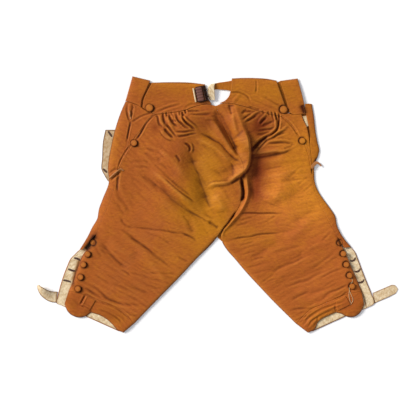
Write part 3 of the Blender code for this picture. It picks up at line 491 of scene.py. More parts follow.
# %% The main folds
FOLDS = [
    # the full seat, rolled over the centre-back seam
    (7, 9, 16, (40, 240), (50, 212), (60, 184), (70, 156), (75, 132), (76, 112)),
    (12, 4, 22, (66, 178), (72, 151), (76, 124), (74, 100), (67, 84), (54, 72), (40, 64)),
    (4.5, 3.5, 9, (74, 104), (69, 88), (54, 74), (35, 60), (24, 55)),
    (1.6, 3, 8, (45, 66), (29, 55), (10, 51), (-9, 49), (-23, 43)),
    (2.5, 4, 6, (33, 236), (36, 213), (40, 190), (46, 166)),
    (-10.5, 9, 10, (-8, 226), (8, 204), (22, 182), (34, 158), (44, 134), (52, 116)),
    (5.5, 4, 12, (-15, 205), (1, 183), (14, 162), (28, 140), (40, 122), (50, 110)),
    (-4.5, 6, 3.5, (-42, 172), (-23, 163), (-6, 153), (8, 144), (23, 128), (37, 114), (54, 103)),
    (4, 7, 6, (-52, 163), (-28, 148), (-4, 134), (20, 112), (35, 100)),
    (-1.8, 8, 8, (-16, 88), (6, 76), (27, 86), (49, 100)),
    (2.5, 2, 5, (-23, 43), (-13, 49), (6, 52), (27, 54)),
    (-2.5, 2.5, 4, (30, 50), (39, 56), (51, 67)),
    (-3, 8, 3, (27, 242), (30, 228), (35, 214)),
    # the crotch seam gapes, with a lip on its right
    (-10, 3, 2.6, (57, 64), (61, 40), (61, 19), (57, 7)),
    (4.5, 3.5, 3, (67, 84), (71, 55), (72, 26), (65, 2), (54, -17), (38, -35), (24, -51), (12, -63),
     (11, -80)),
    (-4, 2, 2, (45, -14), (36, -29), (25, -46), (13, -59), (6, -75)),
    # the long drag lines of the left thigh
    (4.4, 6, 7, (-155, 82.4), (-126.2, 58.4), (-102.2, 36.8), (-80.6, 17.6), (-59, -0.4)),
    (-4, 9, 12, (-179, 72.8), (-150.2, 50), (-123.8, 27.2), (-99.8, 5.6), (-73.4, -13.6), (-47, -26.8),
     (-23, -35.2)),
    (-8.4, 19, 15, (-66, 132), (-57, 96), (-42, 60), (-30, 24), (-18, -8)),
    (3, 12, 12, (-9, 24), (6, 4), (11, -17)),
    (-1.8, 5, 4, (-23, -41), (-11, -48), (3, -56)),
    (3, 12, 14, (-140, 130), (-104, 104), (-76, 60)),
    # the left leg above the knee
    (-1.6, 9, 7, (-226, -54), (-179, -56), (-123, -63), (-40, -84)),
    (-2, 8, 7, (-229, -58), (-179, -96), (-133, -128), (-98, -146)),
    (-2, 10, 8, (-282, -92), (-251, -128), (-215, -150)),
    (-2, 9, 7, (-320, -200), (-275, -220), (-224, -240)),
    (1.8, 10, 10, (-196, -116), (-160, -140), (-120, -196)),
    (1.8, 12, 12, (-262, -80), (-238, -104), (-196, -124)),
    # the sharp creases that run from the right gathers
    (-8, 3, 5, (85, 134), (93, 144), (103, 153), (113, 159), (121, 163)),
    (4, 10, 2.4, (78, 123), (97, 124), (119, 126), (140, 129), (159, 130), (179, 141)),
    (-3, 3, 8, (83, 112), (107, 114), (131, 118), (155, 123)),
    (6, 30, 34, (140, 90), (150, 50), (132, 0)),
    (-5, 16, 9, (86, 146), (86, 110), (84, 60), (88, 4)),
    # the right leg
    (-1.7, 10, 14, (106.6, 38), (137.8, 45.2), (171.4, 59.6), (200.2, 74)),
    (-1.7, 12, 12, (125.8, -2.8), (164.2, 14), (200.2, 35.6), (221.8, 52.4)),
    (1.87, 14, 14, (106.6, 16.4), (142.6, 28.4), (178.6, 45.2)),
    (-1.53, 10, 12, (178.6, -41.2), (212.2, -22), (241, -0.4)),
    (-1.36, 6, 8, (52, -22), (107, -20), (170, -18)),
    (-1.53, 7, 6, (16, -82), (77, -77), (145, -66), (192, -58)),
    (-1.7, 10, 9, (76, -130), (112, -108), (150, -84)),
    (-1.44, 11, 10, (114, -168), (166, -138), (222, -108)),
    (-1.44, 10, 9, (136, -192), (198, -172), (268, -146)),
    (-1.27, 9, 8, (160, -222), (232, -208), (304, -186)),
    (1.53, 12, 10, (160, -92), (196, -62), (228, -30)),
    (1.36, 10, 10, (196, -116), (240, -96), (272, -88)),
]

# %% Small sharp creases, placed one by one
CREASES = [
    # gathers of the left waist seam, which fan out over the seat
    (-1.62, 2, 2, (-149, 218), (-143, 208), (-141, 196), (-136, 187)),
    (-2.16, 2, 2, (-131, 222), (-129, 211), (-127, 201), (-124, 194)),
    (-2.34, 2, 2, (-124, 194), (-114, 182), (-107, 172), (-100, 163)),
    (-3.24, 2.6, 2.4, (-127, 184), (-121, 175), (-115, 168), (-107, 160)),
    (1.62, 3, 2, (-136, 180), (-129, 169), (-119, 160), (-107, 156)),
    (-2.7, 2, 2.2, (-117, 222), (-114, 211), (-109, 201), (-102, 192), (-96, 186)),
    (-1.8, 2, 2, (-108, 205), (-105, 202), (-99, 199)),
    (-2.34, 2, 2, (-100, 220), (-97, 208), (-93, 201), (-85, 194), (-78, 187), (-69, 183)),
    (-3.06, 2.2, 2.2, (-85, 224), (-83, 218), (-79, 213)),
    (-2.7, 2, 2, (-79, 228), (-77, 223), (-76, 218)),
    (-3.42, 2.2, 2, (-85, 213), (-78, 201), (-71, 194), (-64, 188), (-55, 178)),
    (1.98, 2.5, 2, (-81, 211), (-70, 200), (-59, 190), (-49, 181)),
    (-2.16, 2, 2, (-100, 176), (-81, 175), (-64, 177), (-52, 176)),
    (-2.16, 2, 2, (-97, 163), (-81, 165), (-66, 169), (-49, 172)),
    (1.62, 2.5, 2.5, (-102, 170), (-81, 170), (-61, 172)),
    (1.8, 2.5, 2.5, (-121, 211), (-114, 194), (-105, 180)),
    (1.8, 2.5, 2.5, (-138, 216), (-135, 201), (-126, 187)),
    (1.62, 2.5, 2.5, (-93, 220), (-85, 206), (-76, 192)),
    (-1.8, 1.8, 1.8, (-123, 223), (-120, 211)),
    (-1.8, 1.8, 1.8, (-111, 223), (-109, 213)),
    (-1.8, 1.8, 1.8, (-91, 224), (-89, 213)),
    (-3.06, 2.2, 2, (-81, 148), (-73, 144), (-67, 138), (-66, 132), (-69, 126)),
    (1.62, 2, 2, (-65, 146), (-60, 135), (-63, 124)),
    (-1.62, 2.5, 2.5, (-101, 120), (-95, 112), (-90, 103)),
    (-1.44, 2, 2, (-76, 226), (-61, 224), (-42, 223)),
    (-1.44, 2.4, 2.4, (-66, 219), (-42, 216), (-13, 219)),
    (1.08, 2.4, 2.4, (-33, 207), (-18, 208), (-4, 206)),
    # the left thigh and hip
    (-0.6, 3.9, 3.9, (-237, 72), (-239, 52), (-238, 31), (-229, 12), (-217, -8), (-213, -27)),
    (-0.51, 3.2, 3.2, (-241, 7), (-232, -10), (-220, -24)),
    (-0.65, 3.1, 2.6, (-232, -29), (-225, -44), (-214, -52), (-201, -54)),
    (-0.6, 2.2, 2.2, (-201, -54), (-181, -56), (-157, -59), (-133, -62), (-109, -65), (-85, -68),
      (-61, -77), (-45, -82)),
    (-0.51, 3.1, 3.1, (-189, -57), (-174, -63), (-157, -70), (-138, -78), (-121, -89), (-107, -102)),
    (-0.6, 3.1, 3.1, (-213, 102), (-196, 104), (-177, 105), (-160, 100)),
    (-0.55, 2.6, 2.6, (-201, 98), (-191, 91), (-174, 91), (-160, 87)),
    (-0.71, 4.2, 4.2, (-186, 74), (-172, 64), (-157, 51), (-141, 36)),
    (-0.75, 3.9, 3.9, (-181, 132), (-165, 117), (-153, 108), (-138, 110), (-124, 112)),
    (-0.55, 2.9, 2.9, (-191, 141), (-177, 134), (-160, 132), (-143, 127), (-131, 117), (-121, 111)),
    (0.51, 3.9, 3.9, (-172, 141), (-153, 136), (-136, 127), (-121, 117)),
    (-0.75, 3.9, 3.9, (-148, 108), (-133, 96), (-119, 84)),
    (-0.6, 3.9, 3.9, (-145, 79), (-126, 63), (-109, 49)),
    (-1.3, 1.8, 1.6, (-133.4, 66.8), (-114.2, 51), (-95, 35.2), (-78.2, 22.2), (-66.2, 14), (-54.2, 5.6)),
    (0.8, 3.1, 2.6, (-69, -8), (-54, -16), (-37, -26), (-21, -35), (-6, -39)),
    (-1.3, 6.5, 5.5, (-72, -39), (-65, -51), (-57, -68)),
    (-0.71, 2.6, 2.6, (-83, -26), (-73, -36), (-66, -41)),
    (-0.71, 2.6, 2.3, (-83, -70), (-66, -77), (-49, -87)),
    (-0.6, 3.1, 3.1, (-97, -122), (-83, -130), (-71, -136)),
    # the left leg above the knee
    (-0.82, 3.1, 2.9, (-229, -59), (-215, -70), (-196, -87), (-174, -102), (-155, -118), (-138, -132),
      (-121, -144), (-100, -153)),
    (-0.82, 3.4, 3.1, (-277, -92), (-265, -107), (-251, -123), (-239, -135), (-225, -146), (-215, -150)),
    (-0.49, 3.1, 3.1, (-295, -99), (-286, -113), (-277, -126)),
    (-0.63, 2.6, 2.6, (-234, -156), (-220, -161), (-208, -172)),
    (-0.49, 2.6, 2.6, (-213, -162), (-186, -168), (-162, -176), (-133, -184)),
    (-0.49, 2.3, 2.3, (-172, -162), (-138, -164), (-97, -165)),
    (-0.87, 3.6, 3.4, (-323, -185), (-306, -194), (-289, -204), (-275, -216), (-258, -227), (-232, -236),
      (-201, -240), (-177, -240)),
    (-0.68, 3.1, 3.1, (-313, -200), (-297, -213), (-277, -225)),
    (0.58, 3.9, 3.9, (-316, -190), (-299, -203), (-285, -215), (-268, -226)),
    (-0.49, 2.9, 2.9, (-292, -168), (-273, -180), (-258, -192)),
    (-0.44, 2.9, 2.9, (-210, -197), (-186, -204), (-165, -212)),
    (-0.44, 2.9, 2.9, (-253, -188), (-229, -197), (-210, -209)),
    (-0.73, 3.1, 2.9, (-287, -237), (-268, -237), (-246, -242), (-222, -254), (-201, -264), (-179, -266)),
    (-0.44, 2.6, 2.6, (-162, -192), (-143, -200), (-131, -200)),
    # the gathers of the right waist seam
    (-1.98, 2, 2, (56, 218), (68, 224), (83, 223)),
    (-1.62, 1.8, 1.8, (60, 225), (71, 229)),
    (-2.34, 2, 2, (75, 235), (90, 230), (103, 226)),
    (2.16, 2, 2, (61, 199), (75, 211), (90, 220), (102, 225)),
    (-2.52, 2, 2, (68, 199), (83, 207), (95, 214)),
    (-1.8, 1.8, 1.8, (61, 205), (73, 213), (83, 219)),
    (1.98, 2.2, 2.2, (97, 194), (104, 205), (113, 214), (116, 220)),
    (-2.34, 2.2, 2, (101, 192), (109, 201), (117, 208)),
    (-1.98, 2.2, 2.2, (104, 188), (119, 193), (133, 200)),
    (1.26, 2, 2, (102, 184), (121, 184), (135, 189)),
    (-1.62, 2, 2, (95, 177), (116, 180), (133, 182)),
    (-1.62, 2.2, 2.2, (92, 168), (111, 170), (128, 175)),
    (1.98, 2.6, 2, (90, 150), (104, 159), (116, 168), (128, 174), (138, 183), (141, 194)),
    (-3.78, 2, 2, (121, 164), (131, 168), (139, 176), (144, 184), (147, 195), (150, 206)),
    (2.7, 1.7, 1.7, (86, 124), (97, 138), (107, 148), (116, 157), (128, 162), (140, 171), (152, 178),
      (167, 184)),
    (-2.34, 2, 2, (92, 129), (104, 141), (115, 151), (128, 158)),
    (-1.62, 2, 2, (131, 160), (147, 168), (164, 174)),
    (1.44, 2, 2, (145, 177), (157, 183), (167, 190)),
    (-1.44, 2.4, 2.4, (119, 147), (140, 148), (162, 150), (183, 146)),
    (1.26, 3, 3, (126, 154), (152, 154), (181, 152)),
    (-1.26, 2.4, 2.4, (157, 134), (171, 138), (183, 145)),
    (-3.06, 2, 2, (137, 222), (140, 211), (143, 201)),
    (-3.06, 2, 2, (147, 218), (147, 206), (144, 192)),
    (-2.52, 2, 2, (120, 224), (125, 214)),
    (-2.52, 2, 2, (128, 223), (133, 210)),
    (1.8, 2, 2, (133, 220), (138, 201), (137, 187)),
    (-1.62, 2, 2, (107, 225), (113, 217)),
    # the right thigh and leg
    (-1.05, 1.8, 1.8, (54, -20), (78, -20), (107, -20), (131, -20), (157, -22)),
    (-0.74, 2, 2, (54, -38), (68, -33), (85, -29)),
    (-0.58, 2, 2, (44, -51), (61, -46), (75, -41)),
    (-0.48, 2, 2, (143, -50), (159, -49), (181, -51)),
    (-0.89, 1.9, 1.9, (32, -82), (54, -78), (75, -75), (99, -71), (126, -68), (150, -68)),
    (-0.69, 2.4, 2.4, (49, -99), (68, -93), (87, -87)),
    (-0.48, 2, 2, (109, -42), (126, -34), (143, -23)),
    (-0.63, 2.2, 2.2, (248, -87), (260, -75), (272, -62)),
    (-0.53, 2, 2, (203, 30), (217, 40), (231, 52)),
    (-0.42, 2.4, 2.4, (167, 62), (183, 76), (200, 92)),
    (-0.42, 2.4, 2.4, (191, 45), (205, 57), (219, 69)),
    (-0.63, 3.2, 3, (126, -120), (150, -111), (174, -104), (203, -98)),
    (-0.58, 2.2, 2.2, (195, -117), (207, -111), (219, -105)),
    (-0.74, 2.6, 2.4, (126, -167), (143, -154), (164, -143), (188, -135), (210, -124)),
    (-0.53, 2.2, 2.2, (102, -186), (119, -176), (138, -165)),
    (-0.79, 3.2, 3, (147, -207), (169, -194), (191, -186), (215, -179), (239, -167), (258, -158)),
    (-0.69, 3, 3, (224, -154), (243, -141), (263, -126), (279, -114)),
    (-0.69, 2.4, 2.4, (243, -176), (270, -162), (301, -153)),
    (-0.89, 2.2, 2.2, (251, -222), (267, -210), (289, -202), (313, -191)),
    (-1, 2, 2, (277, -227), (294, -221), (311, -208)),
    (-0.69, 2.4, 2.2, (169, -254), (195, -248), (222, -248), (243, -245)),
    (-0.84, 2, 2, (183, -278), (203, -270), (219, -263)),
    (-0.53, 2.2, 2.2, (73, -137), (95, -129), (114, -125)),
    (-0.53, 2.6, 2.6, (236, -236), (255, -224), (275, -210)),
    (-0.48, 2.2, 2.2, (174, -228), (198, -216), (219, -207)),
    (-0.53, 2.4, 2.4, (253, -195), (272, -185), (296, -176)),
    (-0.42, 2.2, 2.2, (59, -120), (78, -113), (95, -111)),
    # folds at the seams of the hips and the knee bands
    (-1.87, 1.8, 1.8, (-216.2, 243.2), (-217.4, 225.2), (-212.6, 206), (-209, 196.4)),
    (-1.7, 1.8, 1.8, (-201.8, 242), (-203, 227.6), (-206.6, 213.2), (-207.8, 201.2)),
    (1.53, 2.2, 2.2, (-209, 245.6), (-210.2, 227.6), (-209.8, 208.4)),
    (-1.53, 1.8, 1.8, (-207.8, 201.2), (-212.6, 177.2), (-218.6, 150.8)),
    (-1.53, 1.8, 1.8, (-206.6, 196.4), (-195.8, 203.6), (-179, 213.2), (-157.4, 220.4)),
    (-1.4, 1.8, 1.8, (-152.6, 216.8), (-169.4, 196.4), (-186.2, 167.6), (-198.2, 153.2)),
    (-1.63, 1.8, 1.8, (-207.8, 143.6), (-219.8, 125.6), (-231.8, 105.2), (-237.8, 88.4)),
    (2.04, 2.2, 2.2, (-260.6, 62), (-248.6, 72.8), (-239, 81.2), (-228.2, 84.8)),
    (-1.7, 1.8, 1.8, (-255.8, 57.2), (-243.8, 69.2), (-234.2, 77.6)),
    (-1.53, 1.8, 1.8, (-265.4, 71.6), (-253.4, 81.2), (-241.4, 89.6)),
    (-1.87, 2, 2, (-235.4, 76.4), (-239.5, 54.8), (-240.2, 33.2)),
    (-1.53, 2, 2, (152.2, 212), (173.8, 194), (190.6, 170), (197.8, 158)),
    (-2.55, 2, 2, (-316.3, -215.2), (-321.8, -226), (-329, -239.2)),
    (-1.36, 1.8, 1.8, (-327.8, -240.4), (-313.4, -246.4), (-300.2, -253.6)),
    (-1.36, 1.8, 1.8, (-318.2, -214), (-306.2, -218.8), (-290.6, -227.2)),
    (-1.53, 2, 2, (-296.6, -232), (-272.6, -235.6), (-243.8, -246.4), (-217.4, -265.6), (-203, -281.2)),
    (-1.19, 2, 2, (-289.4, -250), (-263, -257.2), (-239, -271.6), (-224.6, -288.4)),
    (-1.4, 2, 2, (205, -286), (219.4, -268), (241, -253.6), (269.8, -241.6), (305.8, -229.6)),
    (0.85, 2, 2, (208.6, -290.8), (224.2, -272.8), (245.8, -258.4), (272.2, -246.4), (303.4, -235.6)),
    (-1.1, 2, 2, (214.6, -295.6), (229, -276.4), (248.2, -264.4), (267.4, -256), (281.8, -252.4)),
    (-1.53, 2, 2, (281.8, -239.2), (283, -252.4), (289, -259.6)),
    (-1.36, 2, 2, (241, -266.8), (238.6, -281.2), (229, -293.2)),
    # pulls in the two waistbands, up from the gathers
    (0.77, 2.6, 2.2, (-157, 222), (-119, 238), (-90, 246)),
    (-0.77, 2.2, 2.2, (-148, 223), (-114, 235), (-81, 242)),
    (0.68, 2.4, 2.4, (-133, 224), (-105, 234), (-76, 242)),
    (-0.85, 2, 2, (-81, 230), (-66, 240), (-57, 243)),
    (-0.77, 2.2, 2, (-76, 234), (-52, 240), (-23, 241)),
    (-1.36, 2, 2, (26, 268), (54, 268), (73, 259), (79, 247)),
    (-1.1, 1.8, 1.8, (92, 300), (93, 283), (92, 268)),
    (-0.77, 2.2, 2.2, (83, 254), (109, 242), (140, 228)),
    (0.77, 2.4, 2.4, (97, 259), (126, 244), (152, 228)),
    (-0.77, 2.2, 2.2, (107, 264), (131, 249), (155, 235)),
    (0.85, 3, 3, (35, 244), (49, 259), (56, 266)),
]

print(len(FOLDS), "folds and", len(CREASES), "creases")

# %% Ripples: where they lie, their direction in degrees, height, length and width
RIPPLE_COLUMNS = ("x", "y", "reach", "angle", "height", "long", "wide")
RIPPLES = [
    (-130, 60, 110, -44, 0.9, 46, 8), (-170, -60, 90, -22, 0.85, 50, 8), (-225, -160, 100, -32, 1.0, 44, 8),
    (-310, -190, 50, -42, 0.9, 30, 7), (-270, 20, 60, -60, 0.8, 26, 6), (-20, 120, 80, -52, 0.8, 44, 8),
    (-30, 0, 60, -60, 0.8, 40, 8), (120, 150, 70, 24, 0.9, 36, 7), (160, 40, 110, 8, 0.9, 52, 7),
    (130, -80, 100, 14, 0.95, 58, 9), (230, -160, 100, 28, 1.05, 56, 9.5), (320, -190, 50, 34, 0.8, 30, 7),
    (-100, 265, 70, 8, 0.45, 40, 7), (90, 270, 70, -14, 0.5, 34, 7), (240, 150, 50, 75, 0.7, 26, 7),
]
RIPPLE_SEED, STRENGTH_SEED, WANDER_SEED, STRENGTH_CELL, WANDER_CELL = 12, 61, 62, 18, 26
FINER, FINER_SHARE, FINER_SEED = 2.1, 0.5, 40
RIDGE_LONG, RIDGE_WIDE, RIDGE_SEED = 0.8, 0.7, 80
WAVE_SHARE, RIDGE_SHARE = 0.5, 0.35


def lattice_noise(x, y, seed, size=64):
    """A smooth random field from -1 to 1, whose lumps are about one unit across."""
    table = np.random.default_rng(seed).uniform(-1, 1, (size, size))
    column, row = np.floor(x).astype(int), np.floor(y).astype(int)
    a, b = [t * t * (3 - 2 * t) for t in (x - column, y - row)]
    corner = [[table[(row + j) % size, (column + i) % size] for i in (0, 1)] for j in (0, 1)]
    low, high = [left * (1 - a) + right * a for left, right in corner]
    return low * (1 - b) + high * b


def ripple_height(x, y):
    """Uneven ripples: at each point, those of the nearest rows of the table count most."""
    total, weights = np.zeros(x.shape), np.full(x.shape, 1e-6)
    for i, row in enumerate(RIPPLES):
        r = dict(zip(RIPPLE_COLUMNS, row))
        weight = np.exp(-((x - r["x"]) ** 2 + (y - r["y"]) ** 2) / r["reach"] ** 2)
        c, s = math.cos(math.radians(r["angle"])), math.sin(math.radians(r["angle"]))
        along, across = (x * c + y * s) / r["long"], (y * c - x * s) / r["wide"]
        field = lattice_noise(along, across, RIPPLE_SEED + i)
        field += FINER_SHARE * lattice_noise(along * FINER, across * FINER, RIPPLE_SEED + FINER_SEED + i)
        crest = lattice_noise(along * RIDGE_LONG, across * RIDGE_WIDE, RIPPLE_SEED + RIDGE_SEED + i)
        ridge = 1 - 2 * np.abs(crest)
        total += weight * r["height"] * (WAVE_SHARE * field + RIDGE_SHARE * ridge)
        weights += weight
    return total / weights


# %% The height of the back
BUTTON_NODES = sorted(n for n in frame["nodes"] if "_button_" in n)
BUTTONS = []
for low, high in map(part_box, BUTTON_NODES):
    BUTTONS.append([v / MM / 2 for v in (low[0] + high[0], low[1] + high[1], high[0] - low[0])])
CLOTH = 1.4            # silk with its linen lining
BAND_CLOTH = 2.2       # waistband: silk, stiffening and lining
TRIM_CLOTH = 1.0       # one folded layer of linen
GAP = 0.3              # air between layers
LAID = CLOTH + GAP     # where a layer that lies on the front begins
LEG_FULLNESS, WAIST_FULLNESS = 4.5, 3.0
WAIST_FOOT, WAIST_DEPTH = 196, 36
SPOT_COLUMNS = ("x", "y", "reach_x", "reach_y", "amount")
SWELLINGS = [(10, 110, 80, 80, 9), (10, 10, 44, 48, 5), (-90, 40, 70, 70, 3)]
SOFTNESS = 0.8         # how blunt the bottom of a crease is
FOLD_REACH = 3.4       # how many of its widths a fold reaches
ROUND_SHARE, LONG_SHARE, LONG_REACH, LONG_POWER = 0.45, 0.55, 2.2, 1.8
LIP_PLACE, LIP_WIDE = 1.9, 0.8
END_FADE, END_WIDENS, END_RISE_LEAST = 5, 1.6, 0.1
GROOVE, GROOVE_WIDE, GROOVE_INSET = 1.2, 1.3, 0.4
FACING_REACH = 26
FLOOR_SOFT, FLOOR_SINK = 1, 0.25   # how softly a deep fold meets what lies below


def spots(x, y, rows):
    """The sum of soft spots, each with its centre, its reach each way and its amount."""
    total = np.zeros(x.shape)
    for row in rows:
        s = dict(zip(SPOT_COLUMNS, row))
        far = ((x - s["x"]) / s["reach_x"]) ** 2 + ((y - s["y"]) / s["reach_y"]) ** 2
        total += s["amount"] * np.exp(-far)
    return total


def fold_height(x, y, rows, lip, uneven):
    """What all folds of a table add to the height of the cloth.

    A lip is the rise beside a crease, and uneven the share by which its depth changes along it. Each
    line strays from its points by up to a millimetre.
    """
    strength = 1 + uneven * lattice_noise(x / STRENGTH_CELL, y / STRENGTH_CELL, STRENGTH_SEED)
    stray = [lattice_noise(x / WANDER_CELL, y / WANDER_CELL, WANDER_SEED + i) for i in (0, 1)]
    x, y = x + stray[0], y + stray[1]
    total = np.zeros(x.shape)
    for rise, left, right, *points in rows:
        run = run_along(points, 5 * len(points))
        near = close_to(x, y, run, FOLD_REACH * max(left, right))
        if not len(near):
            continue
        gap, side, along = from_line(x[near], y[near], run)
        ends = np.minimum(1, np.minimum(along, 1 - along) * END_FADE)
        slim = min(left, right)
        width = slim + (np.where(side > 0, left, right) - slim) * np.minimum(1, END_WIDENS * ends)
        far = (np.sqrt(gap * gap + SOFTNESS * SOFTNESS) - SOFTNESS) / width
        shape = ROUND_SHARE * np.exp(-far * far)
        shape += LONG_SHARE * np.clip(1 - far / LONG_REACH, 0, 1) ** LONG_POWER
        shape -= lip * np.exp(-((far - LIP_PLACE) / LIP_WIDE) ** 2)
        fade = END_RISE_LEAST + (1 - END_RISE_LEAST) * ends
        total[near] += rise * shape * fade * strength[near]
    return total


def down_edges():
    """Edges where the back comes down to what it lies on, and how far in it stays rounded."""
    rows = [([(-156, 294), (-30, 290), (-24, 262), (-12, 241)], 4), ([(34, 303), (90, 304), (140, 298)], 4)]
    for side, tip in ((LEFT, (-204, 308)), (RIGHT, (192, 303))):
        corner = max(side["outline"][0], side["turn_top"][-1], key=lambda p: abs(p[0]))
        rows += [(side["outline"] + side["facing_edge"][1:3], 8), (side["slit_edge"][3:], 5),
                 (side["inseam"] + side["band_hem"][-1:], 3), (side["band_hem"], 4), (side["tab_hem"], 5),
                 ([corner, tip, (math.copysign(155, tip[0]), 297)], 5)]
    return rows


def back_height(x, y):
    """Height of the upper face of the back, in mm above the floor."""
    shape = x.shape
    x, y = x.ravel(), y.ravel()
    waist = np.clip((y - WAIST_FOOT) / WAIST_DEPTH, 0, 1)
    full = LEG_FULLNESS + (WAIST_FULLNESS - LEG_FULLNESS) * waist * waist * (3 - 2 * waist)
    full += spots(x, y, SWELLINGS)
    inside = np.ones(x.shape)
    for line, rounding in down_edges():
        inside *= 1 - np.exp(-from_line(x, y, line)[0] / rounding)
    over_facing = np.zeros(x.shape)
    for side in SIDES.values():
        for line in (side["slit_edge"] + side["tab_hem"] + side["band_hem"][1:], side["facing_edge"]):
            over_facing = np.maximum(over_facing, np.exp(-((from_line(x, y, line)[0] / FACING_REACH) ** 4)))
    folds = fold_height(x, y, FOLDS, 0, 0.12) + fold_height(x, y, CREASES, 0.3, 0.25) + ripple_height(x, y)
    for button_x, button_y, radius in BUTTONS:
        rim = np.hypot(x - button_x, y - button_y) - radius + GROOVE_INSET
        folds -= GROOVE * np.exp(-((rim / GROOVE_WIDE) ** 2))
    swell = (full + folds) * inside
    swell = 0.5 * (swell + np.sqrt(swell * swell + FLOOR_SOFT)) - FLOOR_SINK
    return (LAID + CLOTH + (TRIM_CLOTH + GAP) * over_facing + swell).reshape(shape)


print("height over the seat", round(back_height(np.array([30.0]), np.array([120.0]))[0], 1), "mm")

# %% [markdown]
# ## Dye, soil and wear, and painted light and shade
# The dye has faded golden in some areas. In others painted shade, with deeper dye in part, darkens it,
# and painted light and shade make it lighter or darker. Each area is a soft spot, with its centre, its
# reach each way and its amount. Painted shade with soil is darkest along slits, seams and creases,
# under the buckle and where the seat lies on itself, and a painted shadow lies on the shaded side of
# each button.

# %% Areas of the dye, and of painted light and shade
GOLDEN_AREAS = [
    (-34, 70, 46, 110, 0.85), (8, 110, 40, 70, 0.4), (62, 150, 24, 90, 0.45), (-60, -6, 70, 46, 0.6),
    (-6, -40, 50, 46, 0.7), (90, -80, 60, 36, 0.4), (200, 120, 70, 90, 0.8), (180, 10, 90, 60, 0.45),
    (130, 272, 110, 40, 0.7), (-90, 290, 120, 30, 0.5), (-258, 150, 26, 70, 0.5),
    (-120, -130, 40, 70, 0.35), (-345, -250, 26, 22, 0.15), (-250, -275, 50, 24, 0.3),
    (256, -272, 44, 22, 0.6), (250, 0, 40, 60, 0.4), (-48, -92, 34, 42, 0.5),
]
# Areas of painted shade, as beside the rolled seat, with deeper dye in part
SHADE_AND_DEEP_DYE_AREAS = [
    (-150, 184, 9, 12, 0.5), (-30, 196, 36, 24, 0.45), (-70, 140, 26, 26, 0.3), (96, 186, 24, 26, 0.75),
    (96, 88, 22, 44, 0.75), (116, 96, 16, 20, 0.2), (92, 30, 18, 36, 0.6), (62, 178, 14, 40, 0.2),
    (30, 110, 50, 50, 0.13), (-262, -268, 30, 14, 0.3), (-90, 108, 22, 34, 0.25), (70, 232, 20, 14, 0.25),
    (110, 204, 22, 16, 0.3), (-40, 50, 18, 60, 0.15), (14, 178, 16, 34, 0.4), (-330, -240, 30, 20, 0.2),
    (320, -240, 30, 20, 0.12), (60, -30, 40, 16, 0.15),
]
# Painted light where the amount is above zero, painted shade where it is below
LIGHT_AND_SHADE_AREAS = [
    (190, 20, 80, 90, 0.9), (235, -10, 50, 50, 0.4), (215, 190, 24, 40, 0.4), (64, 200, 14, 36, 0.4),
    (8, 40, 22, 36, 0.5), (36, 74, 22, 14, 0.4), (-150, -40, 50, 80, 0.2), (-60, 60, 40, 110, -0.75),
    (150, 20, 60, 60, 0.5), (-80, 270, 70, 20, -0.25), (96, 174, 16, 18, -0.5), (-100, 304, 130, 8, -0.4),
    (90, 306, 90, 8, -0.4), (-45, 176, 30, 24, -0.6), (-225, 0, 40, 60, -0.25), (90, 60, 14, 80, -0.2),
    (-14, 206, 30, 18, -0.3), (-320, -170, 40, 60, -0.1), (-42, 14, 16, 34, -0.5), (-66, -20, 24, 30, -0.2),
    (8, 172, 16, 16, 0.4), (30, 132, 16, 16, 0.3), (64, 130, 12, 28, -0.45), (18, 72, 24, 14, -0.5),
    (32, 0, 18, 26, 0.5), (166, 56, 30, 20, 0.35), (270, -156, 50, 40, 0.3), (222, -206, 50, 30, 0.4),
    (-170, 264, 40, 20, -0.2),
]

# %% Lines of painted shade with dust and wax: how dark, how wide, and the points of each
SHADE_AND_SOIL_LINES = [
    # the slits at the knees, and the edges that lie on the linen
    (1.8, 7.0, (-291.8, -70), (-301.4, -86.8), (-309.8, -100), (-317, -108.4)),
    (1.0, 4.0, (-329, -125.2), (-335, -142), (-342.2, -163.6), (-345.8, -182.8), (-347, -197.2)),
    (0.7, 2.6, (-343.4, -156.4), (-346.6, -170.8), (-347.5, -187.6)),
    (1.4, 2.8, (286.5, -78.4), (291.4, -91.6), (296.2, -101.2)),
    (0.35, 1.4, (303.4, -118), (320.2, -144.4), (334.6, -170.8), (344.2, -197.2)),
    (1.0, 1.4, (343, -197.2), (347.8, -211.6), (352.6, -228.4), (357.4, -248.8)),
    # beside the hips
    (1.5, 7.5, (201, 240), (205.5, 229), (210.5, 217)),
    (1.0, 3.0, (217, 186.8), (218.9, 174.8), (220.1, 162.8)),
    (1.6, 2.6, (237, 112), (231.5, 100), (226.5, 88)),
    (1.0, 1.8, (-206.6, 201.2), (-212.6, 179.6), (-217.4, 155.6)),
    (0.5, 1.8, (-150.2, 220.4), (-169.4, 196.4), (-186.2, 167.6), (-200.6, 150.8)),
    # under the buckle and the waist strap
    (1.2, 5.0, (-35, 280.4), (-27.8, 261.2), (-20.6, 246.8)),
    (0.8, 4.0, (-49.4, 248), (-35, 245.6), (-18.2, 242)),
    # joints of the knee straps
    (0.8, 1.5, (-384.2, -206.8), (-386.6, -221.2), (-387.8, -235.6)),
    (0.8, 1.5, (371.8, -208), (374.2, -222.4), (377.8, -236.8)),
    (0.5, 1.5, (373, -207.5), (394.6, -199.1), (416.2, -190)),
    # where the seat lies on itself
    (1.5, 3.4, (85, 131.6), (97, 144.1), (110.2, 155.6), (118.6, 161.4)),
    (2.2, 3.4, (57.4, 62), (59.8, 35.6), (58.6, 9.2)),
    (0.9, 3.0, (44.2, -17.2), (32.2, -34), (20.2, -50.8), (7, -70)),
]
LINE_REACH, LINE_FADE, LINE_LEAST = 2.5, 6, 0.3
# The first of these is how dark the painted shadow at one side of each button's rim is.
RIM_SHADOW, RIM_REACH, RIM_OUT, RIM_SPREAD = 1.3, 2.2, 1.2, 0.3
SHADED_SIDES = -0.6, 2.6   # radians, for the buttons at -X and at +X


